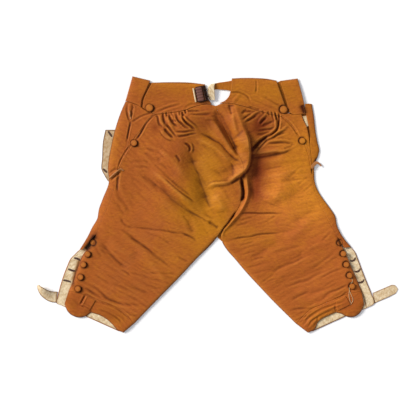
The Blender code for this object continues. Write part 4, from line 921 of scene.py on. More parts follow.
def shade_and_soil(x, y):
    """How dark the painted shade and soil are along those lines, and the painted shadow at the shaded side of
    each button's rim.
    """
    total = np.zeros(x.shape)
    for amount, wide, *points in SHADE_AND_SOIL_LINES:
        near = close_to(x, y, points, LINE_REACH * wide)
        if len(near):
            gap, _, along = from_line(x[near], y[near], points)
            fade = np.minimum(1, np.minimum(along, 1 - along) * LINE_FADE + LINE_LEAST)
            total[near] = np.maximum(total[near], amount * fade * np.exp(-((gap / wide) ** 2)))
    for button_x, button_y, radius in BUTTONS:
        turn = np.arctan2(y - button_y, x - button_x) - SHADED_SIDES[button_x > 0]
        rim = np.hypot(x - button_x, y - button_y) - radius - RIM_OUT
        shaded = np.clip(np.cos(turn) + RIM_SPREAD, 0, 1)
        total = np.maximum(total, RIM_SHADOW * shaded * np.exp(-((rim / RIM_REACH) ** 2)))
    return total


def blurred(z, cells):
    """A grid of heights, averaged over that many cells each way."""
    size = 2 * cells + 1
    for axis in (0, 1):
        padded = np.pad(z, [(cells, cells) if k == axis else (0, 0) for k in (0, 1)], mode="edge")
        sums = np.insert(np.cumsum(padded, axis=axis), 0, 0, axis=axis)
        last = sums.shape[axis]
        z = (np.take(sums, range(size, last), axis) - np.take(sums, range(last - size), axis)) / size
    return z


# %% [markdown]
# ## A piece of cloth
# Each piece is a patch between four edges. Its inside follows from the edges by a rule that S. A.
# Coons found for drafting car bodies: the two pairs of opposite edges are averaged, and the
# corners, which were counted twice, are taken off once. The rows and columns stand closer near the
# edges, where cloth turns down into a seam. The length along each row and column gives the UV map,
# so the weave follows the cut, and the longest of them are the size of the cut itself. Solidify
# then gives the sheet its thickness, downwards.

# %% A patch and its mesh
BORDERS = (0.5, 1.2, 2.2, 3.4)   # where the outermost rows and columns stand, in mm from an edge
BROAD_SHARE, NARROW_CELLS = 24, 2
# Painted shade with soil in hollows and crevices, and the most of it
HOLLOW_SHADE_AND_SOIL, HOLLOW_DEEP, CREVICE_SHADE_AND_SOIL, CREVICE_DEEP, MOST_SOIL_AND_SHADE = 0.4, 3.0, 0.75, 0.5, 1.5
# Wear with a painted highlight on ridges and crests
RIDGE_WORN_AND_LIT, RIDGE_HIGH, CREST_WORN_AND_LIT, CREST_HIGH = 0.5, 2.6, 0.5, 0.6


def edge_shares(count, length):
    """Shares of a length from 0 to 1, closer at both ends."""
    start = [0.0] + [b / length for b in BORDERS]
    middle = np.linspace(start[-1], 1 - start[-1], count)[1:-1]
    return np.array(start + list(middle) + [1 - s for s in start[::-1]])


def curve_length(curve, count):
    """The length of a curve, measured over that many of its points."""
    return np.linalg.norm(np.diff(curve(np.linspace(0, 1, count)), axis=0), axis=1).sum()


def patch(edges, down, across):
    """Points of a patch between its top, bottom, left and right edge, as rows of columns."""
    top, bottom, left, right = [e if callable(e) else smooth_line(e) for e in edges]
    v = edge_shares(down, curve_length(left, 30))
    u = edge_shares(across, max(curve_length(top, 3), curve_length(bottom, 3)))
    v_, u_ = v[:, None, None], u[None, :, None]
    points = (1 - u_) * left(v)[:, None] + u_ * right(v)[:, None]
    for share, edge in ((1 - v_, top), (v_, bottom)):
        points = points + share * (edge(u)[None] - (1 - u_) * edge(0.0) - u_ * edge(1.0))
    return points, v


def run_lengths(points, axis):
    """How far each point is along its row (axis 1) or column (axis 0), and the whole length."""
    steps = np.linalg.norm(np.diff(points, axis=axis), axis=2)
    along = np.insert(np.cumsum(steps, axis=axis), 0, 0, axis=axis)
    return along, np.take(along, [-1], axis=axis)


def edge_gaps(flat):
    """How far each point is from the top, bottom, left and right edge of its patch."""
    along, wide = run_lengths(flat, 1)
    below, tall = run_lengths(flat, 0)
    return below, tall - below, along, wide - along


def rounded_edge(distance, radius, drop):
    """How far cloth sinks near an edge that turns down in a quarter of an ellipse."""
    t = np.clip(distance / radius, 0, 1)
    return -drop * (1 - np.sqrt(np.clip(1 - (1 - t) ** 2, 0, 1)))


def store(mesh, name, values):
    """Keeps a number for each vertex, which materials and trees read by its name."""
    mesh.attributes.new(name, "FLOAT", "POINT").data.foreach_set("value", np.array(values, np.float32))


def golden(x, y):
    """How golden the dye is, from -1 to 1."""
    return np.clip(spots(x, y, GOLDEN_AREAS), -1, 1)


sheets = {}


def finished(name, mesh, thick, finish, flat, area):
    """The mesh as a sheet of cloth with its thickness below it, and a note of its cut."""
    mesh.materials.append(finish)
    made = placed(name, mesh)
    wall = made.modifiers.new("thickness", "SOLIDIFY")
    wall.thickness, wall.offset = thick * MM, -1.0
    sheets[name] = dict(piece=made, flat=[float(size) * MM for size in flat], area=float(area))
    return made


def sheet_mesh(name, points, thick, finish, soil=0.0):
    """A sheet from rows and columns of points in mm, with its UV map and marks."""
    rows, columns = points.shape[:2]
    index = np.arange(rows * columns).reshape(rows, columns)
    quads = np.stack([index[:-1, :-1], index[1:, :-1], index[1:, 1:], index[:-1, 1:]], -1).reshape(-1, 4)
    flat = points.reshape(-1, 3)
    square = np.cross(flat[quads[:, 2]] - flat[quads[:, 0]], flat[quads[:, 3]] - flat[quads[:, 1]])
    if square[:columns - 1, 2].sum() < 0:
        quads = quads[:, ::-1]
    mesh = bpy.data.meshes.new(name)
    mesh.from_pydata((flat * MM).tolist(), [], quads.tolist())
    mesh.shade_smooth()
    across, wide = run_lengths(points, 1)
    down, tall = run_lengths(points, 0)
    cut = np.stack([across - wide / 2, down], -1).reshape(-1, 2)
    loops = np.empty(len(mesh.loops), int)
    mesh.loops.foreach_get("vertex_index", loops)
    mesh.uv_layers.new(name="cut").data.foreach_set("uv", cut[loops].ravel())
    x, y = flat.T[:2]
    hollow, crevice = [(blurred(points[..., 2], cells) - points[..., 2]).ravel()
                       for cells in (max(1, min(rows, columns) // BROAD_SHARE), NARROW_CELLS)]
    # Hollows and narrow crevices get painted shade with soil.
    soil = soil + HOLLOW_SHADE_AND_SOIL * np.clip(hollow / HOLLOW_DEEP, 0, 1)
    soil = soil + CREVICE_SHADE_AND_SOIL * np.clip(crevice / CREVICE_DEEP, 0, 1) + shade_and_soil(x, y)
    # Ridges and crests get wear with a painted highlight.
    worn = RIDGE_WORN_AND_LIT * np.clip(-hollow / RIDGE_HIGH, 0, 1)
    worn = worn + CREST_WORN_AND_LIT * np.clip(-crevice / CREST_HIGH, 0, 1)
    store(mesh, "soil", np.clip(soil, 0, MOST_SOIL_AND_SHADE))
    store(mesh, "worn", worn)
    store(mesh, "golden", np.clip(golden(x, y), 0, 1))
    # painted shade, with deeper dye in part
    store(mesh, "deep", np.clip(spots(x, y, SHADE_AND_DEEP_DYE_AREAS), 0, 1))
    # painted light and shade
    store(mesh, "pale", np.clip(spots(x, y, LIGHT_AND_SHADE_AREAS), -1, 1))
    area = np.linalg.norm(square, axis=1).sum() / 2 * MM * MM
    return finished(name, mesh, thick, finish, (wide.max(), tall.max()), area)


# %% A piece on the back's surface
# The last of these is how far in the painted shade and grime along an edge reach.
SILK_THICK, BAND_THICK, TRIM_THICK, EDGE_SHADE_WIDE = 1.0, 1.8, 0.8, 2.4
SOFT_EDGE = (0.6, 1.6)


def varied(amount, v):
    """An amount for each row: one number, or shares of the edge and the amounts there."""
    return np.interp(v, *amount)[:, None] if isinstance(amount, tuple) else amount


def cloth(name, edges, down, across, thick=SILK_THICK, lift=0.0, drops=(SOFT_EDGE,) * 4, edge_shade_and_grime=(0,) * 4):
    """A piece on the back's surface.

    drops holds (how far it sinks, over what width), and the last argument how much painted shade and grime
    darken it, at each edge.
    """
    flat, v = patch(edges, down, across)
    z = back_height(flat[..., 0], flat[..., 1]) + lift
    sunk, grime_and_shade = np.zeros(z.shape), np.zeros(z.shape)
    for gap, (drop, radius), soil in zip(edge_gaps(flat), drops, edge_shade_and_grime):
        sunk = np.minimum(sunk, rounded_edge(gap, radius, 1.0) * varied(drop, v))
        grime_and_shade = np.maximum(grime_and_shade, varied(soil, v) * np.exp(-((gap / EDGE_SHADE_WIDE) ** 2)))
    made = sheet_mesh(name, np.dstack([flat, z + sunk]), thick, silk, grime_and_shade.ravel())
    print(name, len(made.data.polygons), "faces")


# %% [markdown]
# ## The legs
# Each leg has a back and a front. The back half carries its half of the seat, so its upper end is
# wide, and its fullness is gathered into the waist seam. The seam down the middle of the seat runs
# on into the inside leg seam. On the outer side the back meets the front's margin, which turns over
# from below, and under the slit at the knee the two come apart.

# %% The backs of the legs
CENTRE_SHARE = 0.49
SEAM_DROP = ((0, CENTRE_SHARE - 0.16, CENTRE_SHARE - 0.08, CENTRE_SHARE + 0.02, 1), (0.3, 0.2, 0.8, 1.9, 1.9))
# Painted shade and grime along the middle edge: the seat seam and inside leg
SEAM_SHADE_AND_GRIME = ((0, CENTRE_SHARE, CENTRE_SHARE + 0.02, 1), (0.1, 0.3, 0.4, 0.4))
OUTER_DROP = ((0, 0.29, 0.35, 1), (0.6, 0.6, 0.15, 0.15))
for label, side in SIDES.items():
    inside_leg = smooth_line(CENTRE_BACK[-1:] + side["crotch"] + side["inseam"])
    outer = side["pocket_edge"] + divided(side["side_seam"])[1:] + side["slit_edge"][1:]
    middle = joined(smooth_line(CENTRE_BACK), inside_leg, CENTRE_SHARE)
    cloth(f"back_of_leg_{label}", (side["waist_seam"], side["knee_seam"], outer, middle), 300, 150,
          drops=((1.4, 2.6), (0.8, 2.0), (OUTER_DROP, 2.2), (SEAM_DROP, 3.2)), edge_shade_and_grime=(0, 0, 0, SEAM_SHADE_AND_GRIME))

# %% [markdown]
# ## The front, which lies on the floor
# The front of the garment is flat under the back: two legs, the square flap that is called a fall,
# and the two halves of the front waistband. It hardly shows, so it is plain: flat cloth with its
# edges turned.

# %% The fronts, the fall and the front waistband
FRONT_THICK, TURNED_EDGE = 1.2, 0.35


def flat_piece(name, outline):
    """A flat piece on the floor, from its outline."""
    mesh = bpy.data.meshes.new(name)
    mesh.from_pydata([(MM * x, MM * y, MM * CLOTH) for x, y in outline], [], [range(len(outline))])
    if mesh.polygons[0].normal.z < 0:
        mesh.flip_normals()
    uv = mesh.uv_layers.new(name="cut")
    for loop in mesh.loops:
        uv.data[loop.index].uv = outline[loop.vertex_index]
    points = np.array(outline, float)
    store(mesh, "golden", golden(*points.T))
    made = finished(name, mesh, FRONT_THICK, silk, np.ptp(points, axis=0), mesh.polygons[0].area)
    edge = made.modifiers.new("turned_edge", "BEVEL")
    edge.width, edge.segments = TURNED_EDGE * MM, 2


FALL_HALF, FALL_FOOT, FALL_CORNER, CROTCH_FOOT, FALL_DEPTH = 132.0, 62.0, 204.0, -78.5, 60
FRONT_BAND = {
    "left": ([(-203, 304), (-157, 291.5), (-120, 268), (-52, 245), (-20, 240), (-GAP, 233)],
             [(-219, 241), (-132, 206), (-58, 184), (-GAP, 178)]),
    "right": ([(191, 300), (143, 294), (118, 268), (52, 252), (22, 246), (8, 240), (GAP, 233)],
              [(208, 236), (132, 206), (58, 184), (GAP, 178)]),
}
for label, side in SIDES.items():
    way, inset = math.copysign(1, side["hem"][0][0]), 2.0
    line = [(way * 224, 240)] + side["outline"][1:] + side["facing_edge"][1:3]
    outline = [(x - way * inset, y) for x, y in run_along(line, 60)]
    outline += list(run_along(side["facing_edge"][2:], 24)[1:])
    outline += side["hem"][1:4] + [(side["hem"][4][0] + way * inset, side["hem"][4][1] + 2 * inset)]
    outline += [(x + way * inset, y) for x, y in side["inseam"][::-1]]
    outline += [(way * GAP, y) for y in (CROTCH_FOOT, FALL_FOOT - FALL_DEPTH, FALL_FOOT - GAP)]
    outline += [(way * (FALL_HALF + GAP), y) for y in (FALL_FOOT - GAP, FALL_CORNER)]
    flat_piece(f"front_of_leg_{label}", outline)
for label, (top, foot) in FRONT_BAND.items():
    flat_piece(f"front_waistband_{label}", list(run_along(top, 25)) + list(run_along(foot, 25)[::-1]))
foot = FRONT_BAND["right"][1]
brow = [(FALL_HALF - GAP, np.interp(FALL_HALF, *zip(*sorted(foot))) - 3 * GAP)]
brow += [(x, y - 2 * GAP) for x, y in divided(foot, steps=8) if x < FALL_HALF - 1]
brow += [(-x, y) for x, y in brow[::-1] if x > 1]
flat_piece("fall_flap", brow + [(GAP - FALL_HALF, FALL_FOOT), (FALL_HALF - GAP, FALL_FOOT)])

# %% [markdown]
# ## The waistband
# The waistband is stiffened, so it lies flatter than the legs, and deep at the middle of the back,
# where a gusset spreads between its two halves. The ends of the front waistband turn over both
# sides and lie beside the back halves, with a dark slit between.

# %% The waistband: top, bottom, left and right edge of each piece
left_seam = divided(LEFT["waist_seam"], 0.4)[:-1] + [(-13, 240.5)]
right_seam = divided(RIGHT["waist_seam"], 0.4)[:-1][::-1]
BANDS = {
    "back_waistband_left": (
        [(-157, 293), (-114, 294), (-66, 293), (-30, 289)], [(-180, 233), (-162, 223)] + left_seam,
        [(-157, 293), (-169, 271), (-177, 253), (-180, 233)],
        [(-30, 289), (-27, 270), (-22, 254), (-13, 240.5)]),
    "back_waistband_right": (
        [(34, 303), (54, 304), (90, 304), (119, 302), (141, 298)], right_seam + [(168, 221)],
        [(34, 303), (33, 288), (31, 273), (27.5, 261), (18, 250), (6, 243), right_seam[0]],
        [(141, 298), (152, 266), (168, 221)]),
    "side_waistband_left": (
        [(-204, 308.3), (-182, 303), (-161, 298)],
        [(-221, 248.4), (-208, 245.4), (-197, 241.4), (-184, 234.4)],
        [(-204, 308.3), (-213, 276), (-221, 248.4)],
        [(-161, 298), (-173, 271), (-181, 253), (-184, 234.4)]),
    "side_waistband_right": (
        [(149, 297), (170, 300), (192, 303)], [(172, 221), (181, 216.6), (201, 217.6), (211, 216)],
        [(149, 297), (160, 264), (172, 221)], [(192, 303), (203, 262), (207.5, 242), (211, 216)]),
}
BAND_LIFT = BAND_CLOTH - CLOTH
for name, edges in BANDS.items():
    foot_drop = 0.4 if name == "side_waistband_right" else 0.9
    cloth(name, edges, 64, 120 if name.startswith("back") else 34, BAND_THICK, BAND_LIFT,
          ((1.5, 3.0), (foot_drop, 2.0), (1.1, 2.0), (1.1, 2.0)), (0.5, 0, 0.2, 0.2))

# %% [markdown]
# ## The sides
# The margin of each front turns over the side and is seen as a long narrow strip from the hip to the
# knee slit. Beside it at the hip lies a shaped flap, which closes the pocket with one button.


# %% Turned sides and pocket flaps
def between_edges(first, second, top):
    """The four edges of a strip between two lines that run from the top to the bottom."""
    return top, [first[-1], second[-1]], first, second


FLAP_LIFT, FLAP_SIDE = 0.5, (0.4, 1.4)
BESIDE_FLAP = ((0, 0.2, 0.32, 1), (0.7, 0.6, 0.15, 0.1))
OPEN_SIDE = ((0, 0.4, 0.6, 1), (0.5, 0.45, 0.1, 0.1))
for label, side in SIDES.items():
    inner = side.get("turn_inner", side["flap_edge"]) + divided(side["side_seam"])[1:] + side["turn_end"]
    outer = side["outline"] + side["facing_edge"][1:3]
    cloth(f"turned_side_{label}", between_edges(outer, inner, side["turn_top"]), 190, 20,
          drops=((0.8, 2.0), (0.3, 2.0), (1.9, 3.2), (BESIDE_FLAP, 1.6)), edge_shade_and_grime=(0.3, 0, 0.75, 0))
    cloth(f"flap_of_pocket_{label}", between_edges(side["flap_edge"], side["pocket_edge"], side["flap_top"]),
          90, 24, lift=FLAP_LIFT, drops=((0.5, 1.4), FLAP_SIDE, (OPEN_SIDE, 1.4), FLAP_SIDE))

# %% [markdown]
# ## The knees
# A knee band finishes the hem of each back. Its outer end is folded to a small square, and beside it
# the slit's edge ends in a rounded tab that carries the lowest buttons. On the front the cloth goes
# on as a linen facing with worked buttonholes: it shows because the front lies open under the slit.

# %% Tabs, knee bands and linen facings
FACING_INSET, FACING_DEPTH, FACING_LEVEL = 1.0, 34.0, LAID + TRIM_CLOTH
LINEN_WAVES = ((16, 5, 1.0), (6, 6, 0.5))  # length, seed and share of each unevenness
# How far linen's edges are rounded, how far they sink, and how far in they are darker
LINEN_EDGE, LINEN_DROP, DARK_EDGE_WIDE = 1.2, 0.35, 1.7
END_ACROSS, END_DOWN, END_INSET, END_RISE = 12, 23, 4, 3
HEM_STEPS, HEM_DEEP, HEM_DEEPER, HEM_SLANT = 9, 22, 12, 14


def linen_piece(name, edges, down, across, level, edge_dark=1.1, darker_overall=0.0, sag=0.35):
    """A strip of linen whose upper face is at the given height, with a slightly uneven surface, darker near
    its edges and, when asked, darker all over.
    """
    flat, _ = patch(edges, down, across)
    x, y = flat[..., 0], flat[..., 1]
    z, darkened = np.full(x.shape, level), np.zeros(x.shape)
    for long, seed, share in LINEN_WAVES:
        z = z + share * sag * lattice_noise(x / long, y / long, seed)
    for gap in edge_gaps(flat):
        z = z + rounded_edge(gap, LINEN_EDGE, LINEN_DROP)
        darkened = np.maximum(darkened, edge_dark * np.exp(-((gap / DARK_EDGE_WIDE) ** 2)))
    sheet_mesh(name, np.dstack([flat, z]), TRIM_THICK, linen, darkened.ravel() + darker_overall)


def knee(label, side):
    """The tab, the band with its folded end, the facing and the lining of one knee."""
    way = math.copysign(1, side["hem"][0][0])
    seam, band, tab = side["knee_seam"], side["band_hem"], side["tab_hem"]
    facing, hem = side["facing_edge"], side["hem"]
    inner_edge = [seam[2], tuple(np.add(seam[2], band[0]) / 2), band[0]]
    cloth(f"tab_of_knee_{label}", (seam[:3], tab, [seam[0], tab[0]], inner_edge), 34, 44,
          drops=((0.2, 1.5), (1.2, 2.4), (0.7, 2.0), (0.2, 1.4)), edge_shade_and_grime=(0, 0.7, 0.4, 0))
    cloth(f"band_of_knee_{label}", (seam[2:], band, inner_edge, [seam[-1], band[-1]]), 34, 110,
          drops=((0.9, 2.2), (1.1, 2.2), (0.2, 1.4), (1.6, 2.6)), edge_shade_and_grime=(0, 0.6, 0, 0.7))
    start = [(x, y - END_RISE) for x, y in seam[2:4]]
    end = [(seam[2][0] + way * END_ACROSS, seam[2][1] - END_DOWN),
           (band[0][0] + way * END_INSET, band[0][1] + END_INSET)]
    edges = (start, end, [start[0], end[0]], [start[1], end[1]])
    cloth(f"end_of_band_{label}", edges, 22, 22, lift=CLOTH + 2 * GAP)

    def on_hem(x):
        return np.interp(x, *zip(*sorted(hem))) + FACING_INSET

    foot_x = facing[-1][0] - way * (FACING_DEPTH + 1)
    outer = [(x - way * FACING_INSET, y) for x, y in facing] + [(hem[1][0], hem[1][1] + FACING_INSET)]
    inner = [(x - way * FACING_DEPTH, y + 4) for x, y in facing] + [(foot_x, on_hem(foot_x))]
    edges = between_edges(outer, inner, [outer[0], inner[0]])
    linen_piece(f"facing_of_knee_{label}", edges, 120, 22, FACING_LEVEL)
    lower = [(x, on_hem(x)) for x in np.linspace(foot_x - way * GAP, hem[3][0], HEM_STEPS)]
    upper = [(x - way * HEM_SLANT * t, y + HEM_DEEP + HEM_DEEPER * t)
             for t, (x, y) in zip(np.linspace(0, 1, HEM_STEPS), lower)]
    edges = (upper, lower, [upper[0], lower[0]], [upper[-1], lower[-1]])
    linen_piece(f"lining_of_hem_{label}", edges, 18, 80, FACING_LEVEL)


for label, side in SIDES.items():
    knee(label, side)

# %% [markdown]
# ## Straps and the buckle
# Each knee band ends in a linen strap for a shoe-type buckle. The left one turns up on its edge
# towards its tip. At the waist the right half ends in a narrow strap, which rolls over on itself and
# hangs down in the vent, with its pale side up. The left half carries the buckle: an oblong frame of
# iron wire on a ribbed tape, with a linen keeper beside it.

# %% Knee straps: the left one's middle, half width, rise and twist in degrees, from knee to tip
STRAP_STEPS = 60
LEFT_STRAP = [
    (-385.0, -221.5, 13.0, 0.0, 0), (-396.0, -220.5, 13.0, 0.0, 3), (-403.0, -218.5, 12.9, 0.2, 7),
    (-410.0, -215.0, 12.2, 0.6, 14), (-416.0, -210.5, 11.6, 1.2, 22), (-421.0, -205.5, 11.6, 2.0, 31),
    (-425.2, -200.5, 10.8, 3.0, 40), (-428.2, -196.0, 8.0, 4.0, 47), (-429.9, -192.5, 4.5, 5.0, 52),
]
RIGHT_STRAP = [[(372.5, -211.5), (418, -192), (426.5, -193.5), (432, -200.5)],
               [(374.5, -237.4), (419, -217), (428.5, -211), (432.3, -203)]]
RIGHT_SHOULDER = 0.78  # where the straight part of the right strap ends
STRAP_ROWS = np.array([-1, -0.93, -0.84, *np.linspace(-0.7, 0.7, 11), 0.84, 0.93, 1])
# Straps are darker near their edges, and a little darker all over.
EDGE_DARK, EDGE_SHARE, STRAP_BROWN = 1.15, 0.1, 0.08
LEFT_LIFT, LEFT_CURL, CURL_ROUND = 0.2, 0.3, 1.5
(HIGH_WAVE, LONG_WAVE), (LOW_WAVE, SHORT_WAVE) = (0.25, 7), (0.1, 3)
darkened = EDGE_DARK * np.exp(-(((1 - np.abs(STRAP_ROWS)) / EDGE_SHARE) ** 2)) + STRAP_BROWN
darkened = np.repeat(darkened, STRAP_STEPS)


def through_rows(rows, count):
    """The columns of a table, filled in evenly between its rows."""
    shares = np.linspace(0, 1, count), np.linspace(0, 1, len(rows))
    return [np.interp(*shares, column) for column in np.transpose(rows)]


def left_strap():
    """The rows of a strap that turns up on its edge towards its tip."""
    middle = run_along([row[:2] for row in LEFT_STRAP], STRAP_STEPS)
    half, lift, twist = through_rows([row[2:] for row in LEFT_STRAP], STRAP_STEPS)
    run = np.gradient(middle, axis=0)
    across = np.stack([-run[:, 1], run[:, 0]], -1) / np.linalg.norm(run, axis=1)[:, None]
    across *= np.sign(across[:, 1])[:, None]
    twist = np.radians(twist)
    for k in STRAP_ROWS:
        z = CLOTH + LEFT_LIFT + lift + half * np.sin(twist) * (1 + k) + LEFT_CURL * np.cos(k * CURL_ROUND)
        yield np.column_stack([middle + k * (half * np.cos(twist))[:, None] * across, z])


def right_strap():
    """The rows of a flat strap, straight as far as its shoulder, with a slightly uneven surface."""
    edges = []
    for line in RIGHT_STRAP:
        tip = smooth_line(line[1:2] + divided(line[2:], steps=2))
        edges.append(joined(smooth_line(line[:2]), tip, RIGHT_SHOULDER)(np.linspace(0, 1, STRAP_STEPS)))
    for k in STRAP_ROWS:
        x, y = (edges[0] * (1 - k) / 2 + edges[1] * (1 + k) / 2).T
        z = CLOTH + HIGH_WAVE * np.sin(x / LONG_WAVE) + LOW_WAVE * np.sin(y / SHORT_WAVE)
        yield np.column_stack([x, y, z])


for label, rows in (("left", left_strap()), ("right", right_strap())):
    sheet_mesh(f"strap_of_knee_{label}", np.array(list(rows)), TRIM_CLOTH, linen, darkened)

# %% The waist strap: one edge (x, y, z) and the other, from its root over the roll to its end
WAIST_STRAP = [
    (44.2, 300.1, 3.4, 41.8, 268.4, 3.4), (31, 297.2, 3.4, 29.8, 274.2, 3.4),
    (16.6, 294.8, 3.6, 11.8, 275.9, 3.4), (4.6, 293.4, 4.2, -3.8, 276.6, 3.4),
    (-2.6, 291.5, 5, -15.8, 275.9, 3.8), (-6.7, 289.1, 6.6, -22.6, 274.2, 5.4),
    (-7.9, 284.3, 8.2, -24, 270.8, 7), (-7.9, 276.8, 8, -24, 266, 6.6),
    (-7.2, 267.2, 6.8, -23, 259.8, 5.6), (-6.5, 257.6, 5.2, -21.1, 254.5, 4.6),
    (-6, 250.2, 4.2, -18.2, 250.9, 3.8),
]
WAIST_STEPS, WAIST_COLUMNS, SMOOTHED = 90, 15, 9
ROLL_BULGE, ROLL_REACH = (-4.6, 4.6, 1.0), 0.11
grid = [np.convolve(np.pad(column, SMOOTHED // 2, mode="edge"), np.ones(SMOOTHED) / SMOOTHED, "valid")
        for column in through_rows(WAIST_STRAP, WAIST_STEPS)]
grid = np.column_stack(grid)
across = np.linspace(0, 1, WAIST_COLUMNS)[None, :, None]
points = grid[:, None, :3] * (1 - across) + grid[:, None, 3:] * across
from_roll = np.linspace(-0.5, 0.5, WAIST_STEPS)[:, None, None] / ROLL_REACH
points += np.sin(math.pi * across) * np.exp(-(from_roll**2)) * np.array(ROLL_BULGE)
strap = sheet_mesh("strap_of_waist", points, TRIM_CLOTH, silk)
strap.data.materials.append(linen)
strap.modifiers["thickness"].material_offset = 1
strap.modifiers["thickness"].material_offset_rim = 1

# %% The buckle
low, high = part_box("buckle_frame")
BUCKLE_PLACE = [(low[0] + high[0]) / 2 / MM, (low[1] + high[1]) / 2 / MM, low[2] / MM]
BUCKLE_WIDE, BUCKLE_TALL, BUCKLE_WIRE, BUCKLE_SLANT = 27.0, 38.0, 3.4, math.radians(11)
BUCKLE_CORNER, BUCKLE_BOW = 3.2, 0.8
BAR_RADIUS, BAR_SHORT, TINE_RADIUS, TINE_PLACES = 2.2, 2, 1.2, (-9.0, 9.0)
TAPE_THICK, TAPE_SHORT, TAPE_STEPS, PUFF = 0.8, 2.2, 70, 1.2


def on_buckle(points):
    """Points of the buckle's own frame, in mm, turned and moved to its place."""
    c, s = math.cos(BUCKLE_SLANT), math.sin(BUCKLE_SLANT)
    return [np.add(BUCKLE_PLACE, (x * c - y * s, x * s + y * c, z)) for x, y, z in points]


def line_curve(name, runs, closed=()):
    """A curve object through points in mm, with one straight-edged spline for each run."""
    curve = bpy.data.curves.new(name, "CURVE")
    curve.dimensions = "3D"
    for i, points in enumerate(runs):
        spline = curve.splines.new("POLY")
        spline.points.add(len(points) - 1)
        places = np.column_stack([np.array(points) * MM, np.ones(len(points))])
        spline.points.foreach_set("co", places.ravel())
        spline.use_cyclic_u = i in closed
    return placed(name, curve)


def as_mesh(piece, name):
    """The plain mesh that an object gives once its modifiers have run. The object itself goes."""
    mesh = bpy.data.meshes.new_from_object(piece.evaluated_get(bpy.context.evaluated_depsgraph_get()))
    bpy.data.objects.remove(piece)
    mesh.name = name
    return placed(name, mesh)


half_wire = BUCKLE_WIRE / 2
rim = []
for first, right, up in ((0, 1, 1), (90, -1, 1), (180, -1, -1), (270, 1, -1)):
    for angle in np.radians(np.arange(first, first + 91, 15)):
        x = right * (BUCKLE_WIDE / 2 - half_wire - BUCKLE_CORNER) + BUCKLE_CORNER * math.cos(angle)
        y = up * (BUCKLE_TALL / 2 - half_wire - BUCKLE_CORNER) + BUCKLE_CORNER * math.sin(angle)
        rim.append((x, y, half_wire + BUCKLE_BOW * (1 - (y / (BUCKLE_TALL / 2 - half_wire)) ** 2)))
bar_x, bar_end = BUCKLE_WIDE / 2 - 1.8 * BUCKLE_WIRE, BUCKLE_TALL / 2 - BAR_SHORT
bar = [(bar_x, y, half_wire + 0.3) for y in np.linspace(-bar_end, bar_end, 9)]
tines = [[(bar_x - 0.5, y, half_wire + 0.8), (bar_x + 4, 0.98 * y, half_wire + 1.9),
          (BUCKLE_WIDE / 2 + 1.4, 0.96 * y, half_wire + 1.5)] for y in TINE_PLACES]
wires = line_curve("wires", [on_buckle(run) for run in (rim, bar, *tines)], closed=[0])
wires.data.bevel_depth, wires.data.bevel_resolution, wires.data.use_fill_caps = MM, 4, True
for spline, radius in zip(wires.data.splines, (half_wire, BAR_RADIUS, TINE_RADIUS, TINE_RADIUS)):
    spline.points.foreach_set("radius", [radius] * len(spline.points))
buckle = as_mesh(wires, "buckle_of_waist")
buckle.data.materials.clear()
buckle.data.materials.append(iron)
print("buckle", len(buckle.data.polygons), "faces")


def tape(name, x0, x1, level, finish, bow, across, puffs=0):
    """A flat band on the buckle, bowed over what lies under it, in so many puffs."""
    half = BUCKLE_TALL / 2 - TAPE_SHORT
    x, y = np.meshgrid(np.linspace(x0, x1, across), np.linspace(-half, half, TAPE_STEPS))
    z = level + bow * np.sqrt(np.clip(1 - ((2 * x - x0 - x1) / (x1 - x0)) ** 2, 0, 1))
    z = z + PUFF * np.abs(np.sin(puffs * math.pi * (y / half + 1) / 2)) ** 0.7
    points = on_buckle(np.stack([x, y, z], -1).reshape(-1, 3))
    return sheet_mesh(name, np.array(points).reshape(*x.shape, 3), TAPE_THICK, finish)


tape("tape_of_buckle", -12.4, 3.4, 1.9, ribbon_tape, 1.8, 26, puffs=5)
keeper = tape("keeper_of_buckle", -19.0, -15.2, 1.0, linen, 0.9, 10)

# %% The linen that shows beside the hips
fall_facing = [(-269, 180), (-274, 157), (-277, 111), (-278, 84), (-271, 70), (-264, 58)]
edge = [(x + 3, y) for x, y in divided(LEFT["outline"][2:6], steps=10)]
edges = between_edges(fall_facing, edge, [fall_facing[0], edge[0]])
linen_piece("facing_of_fall", edges, 90, 18, TRIM_CLOTH, darker_overall=0.4)
mouth = [(203, 212), (213.5, 214)], [(213, 186), (218, 189)]
linen_piece("lining_of_pocket", (*mouth, *zip(*mouth)), 24, 14, LAID + 3.4, edge_dark=0.15)

# %% [markdown]
# ## Covered buttons
# Knee, pocket and waist close with buttons of one make: a wooden mould with the breeches' own silk
# drawn over it and gathered underneath. One button is modelled, with the small tucks that the
# gathering leaves round its rim, and Geometry Nodes set it on a point for each real button. Each
# point stores its size and a turn, so no two lie alike.

# %% One button: radius and height of its profile, for a button one millimetre across
BUTTON_PROFILE = [
    (0.0, 0.0), (0.30, 0.0), (0.38, 0.02), (0.47, 0.05), (0.5, 0.10), (0.485, 0.15), (0.44, 0.19),
    (0.36, 0.213), (0.25, 0.225), (0.12, 0.23), (0.0, 0.232)]
BUTTON_SIDES, TUCKS, TUCK, RIM_LEVEL = 36, 9, 0.018, 4
BUTTON_SILK = 16       # millimetres of silk drawn over a button
# Wear with a painted highlight on the top of each button, and painted shade with soil at its rim
TOP_WORN_AND_LIT, TOP_REACH, DARK_RIM_FROM, DARK_RIM_OVER = 1.1, 0.34, 0.36, 0.12


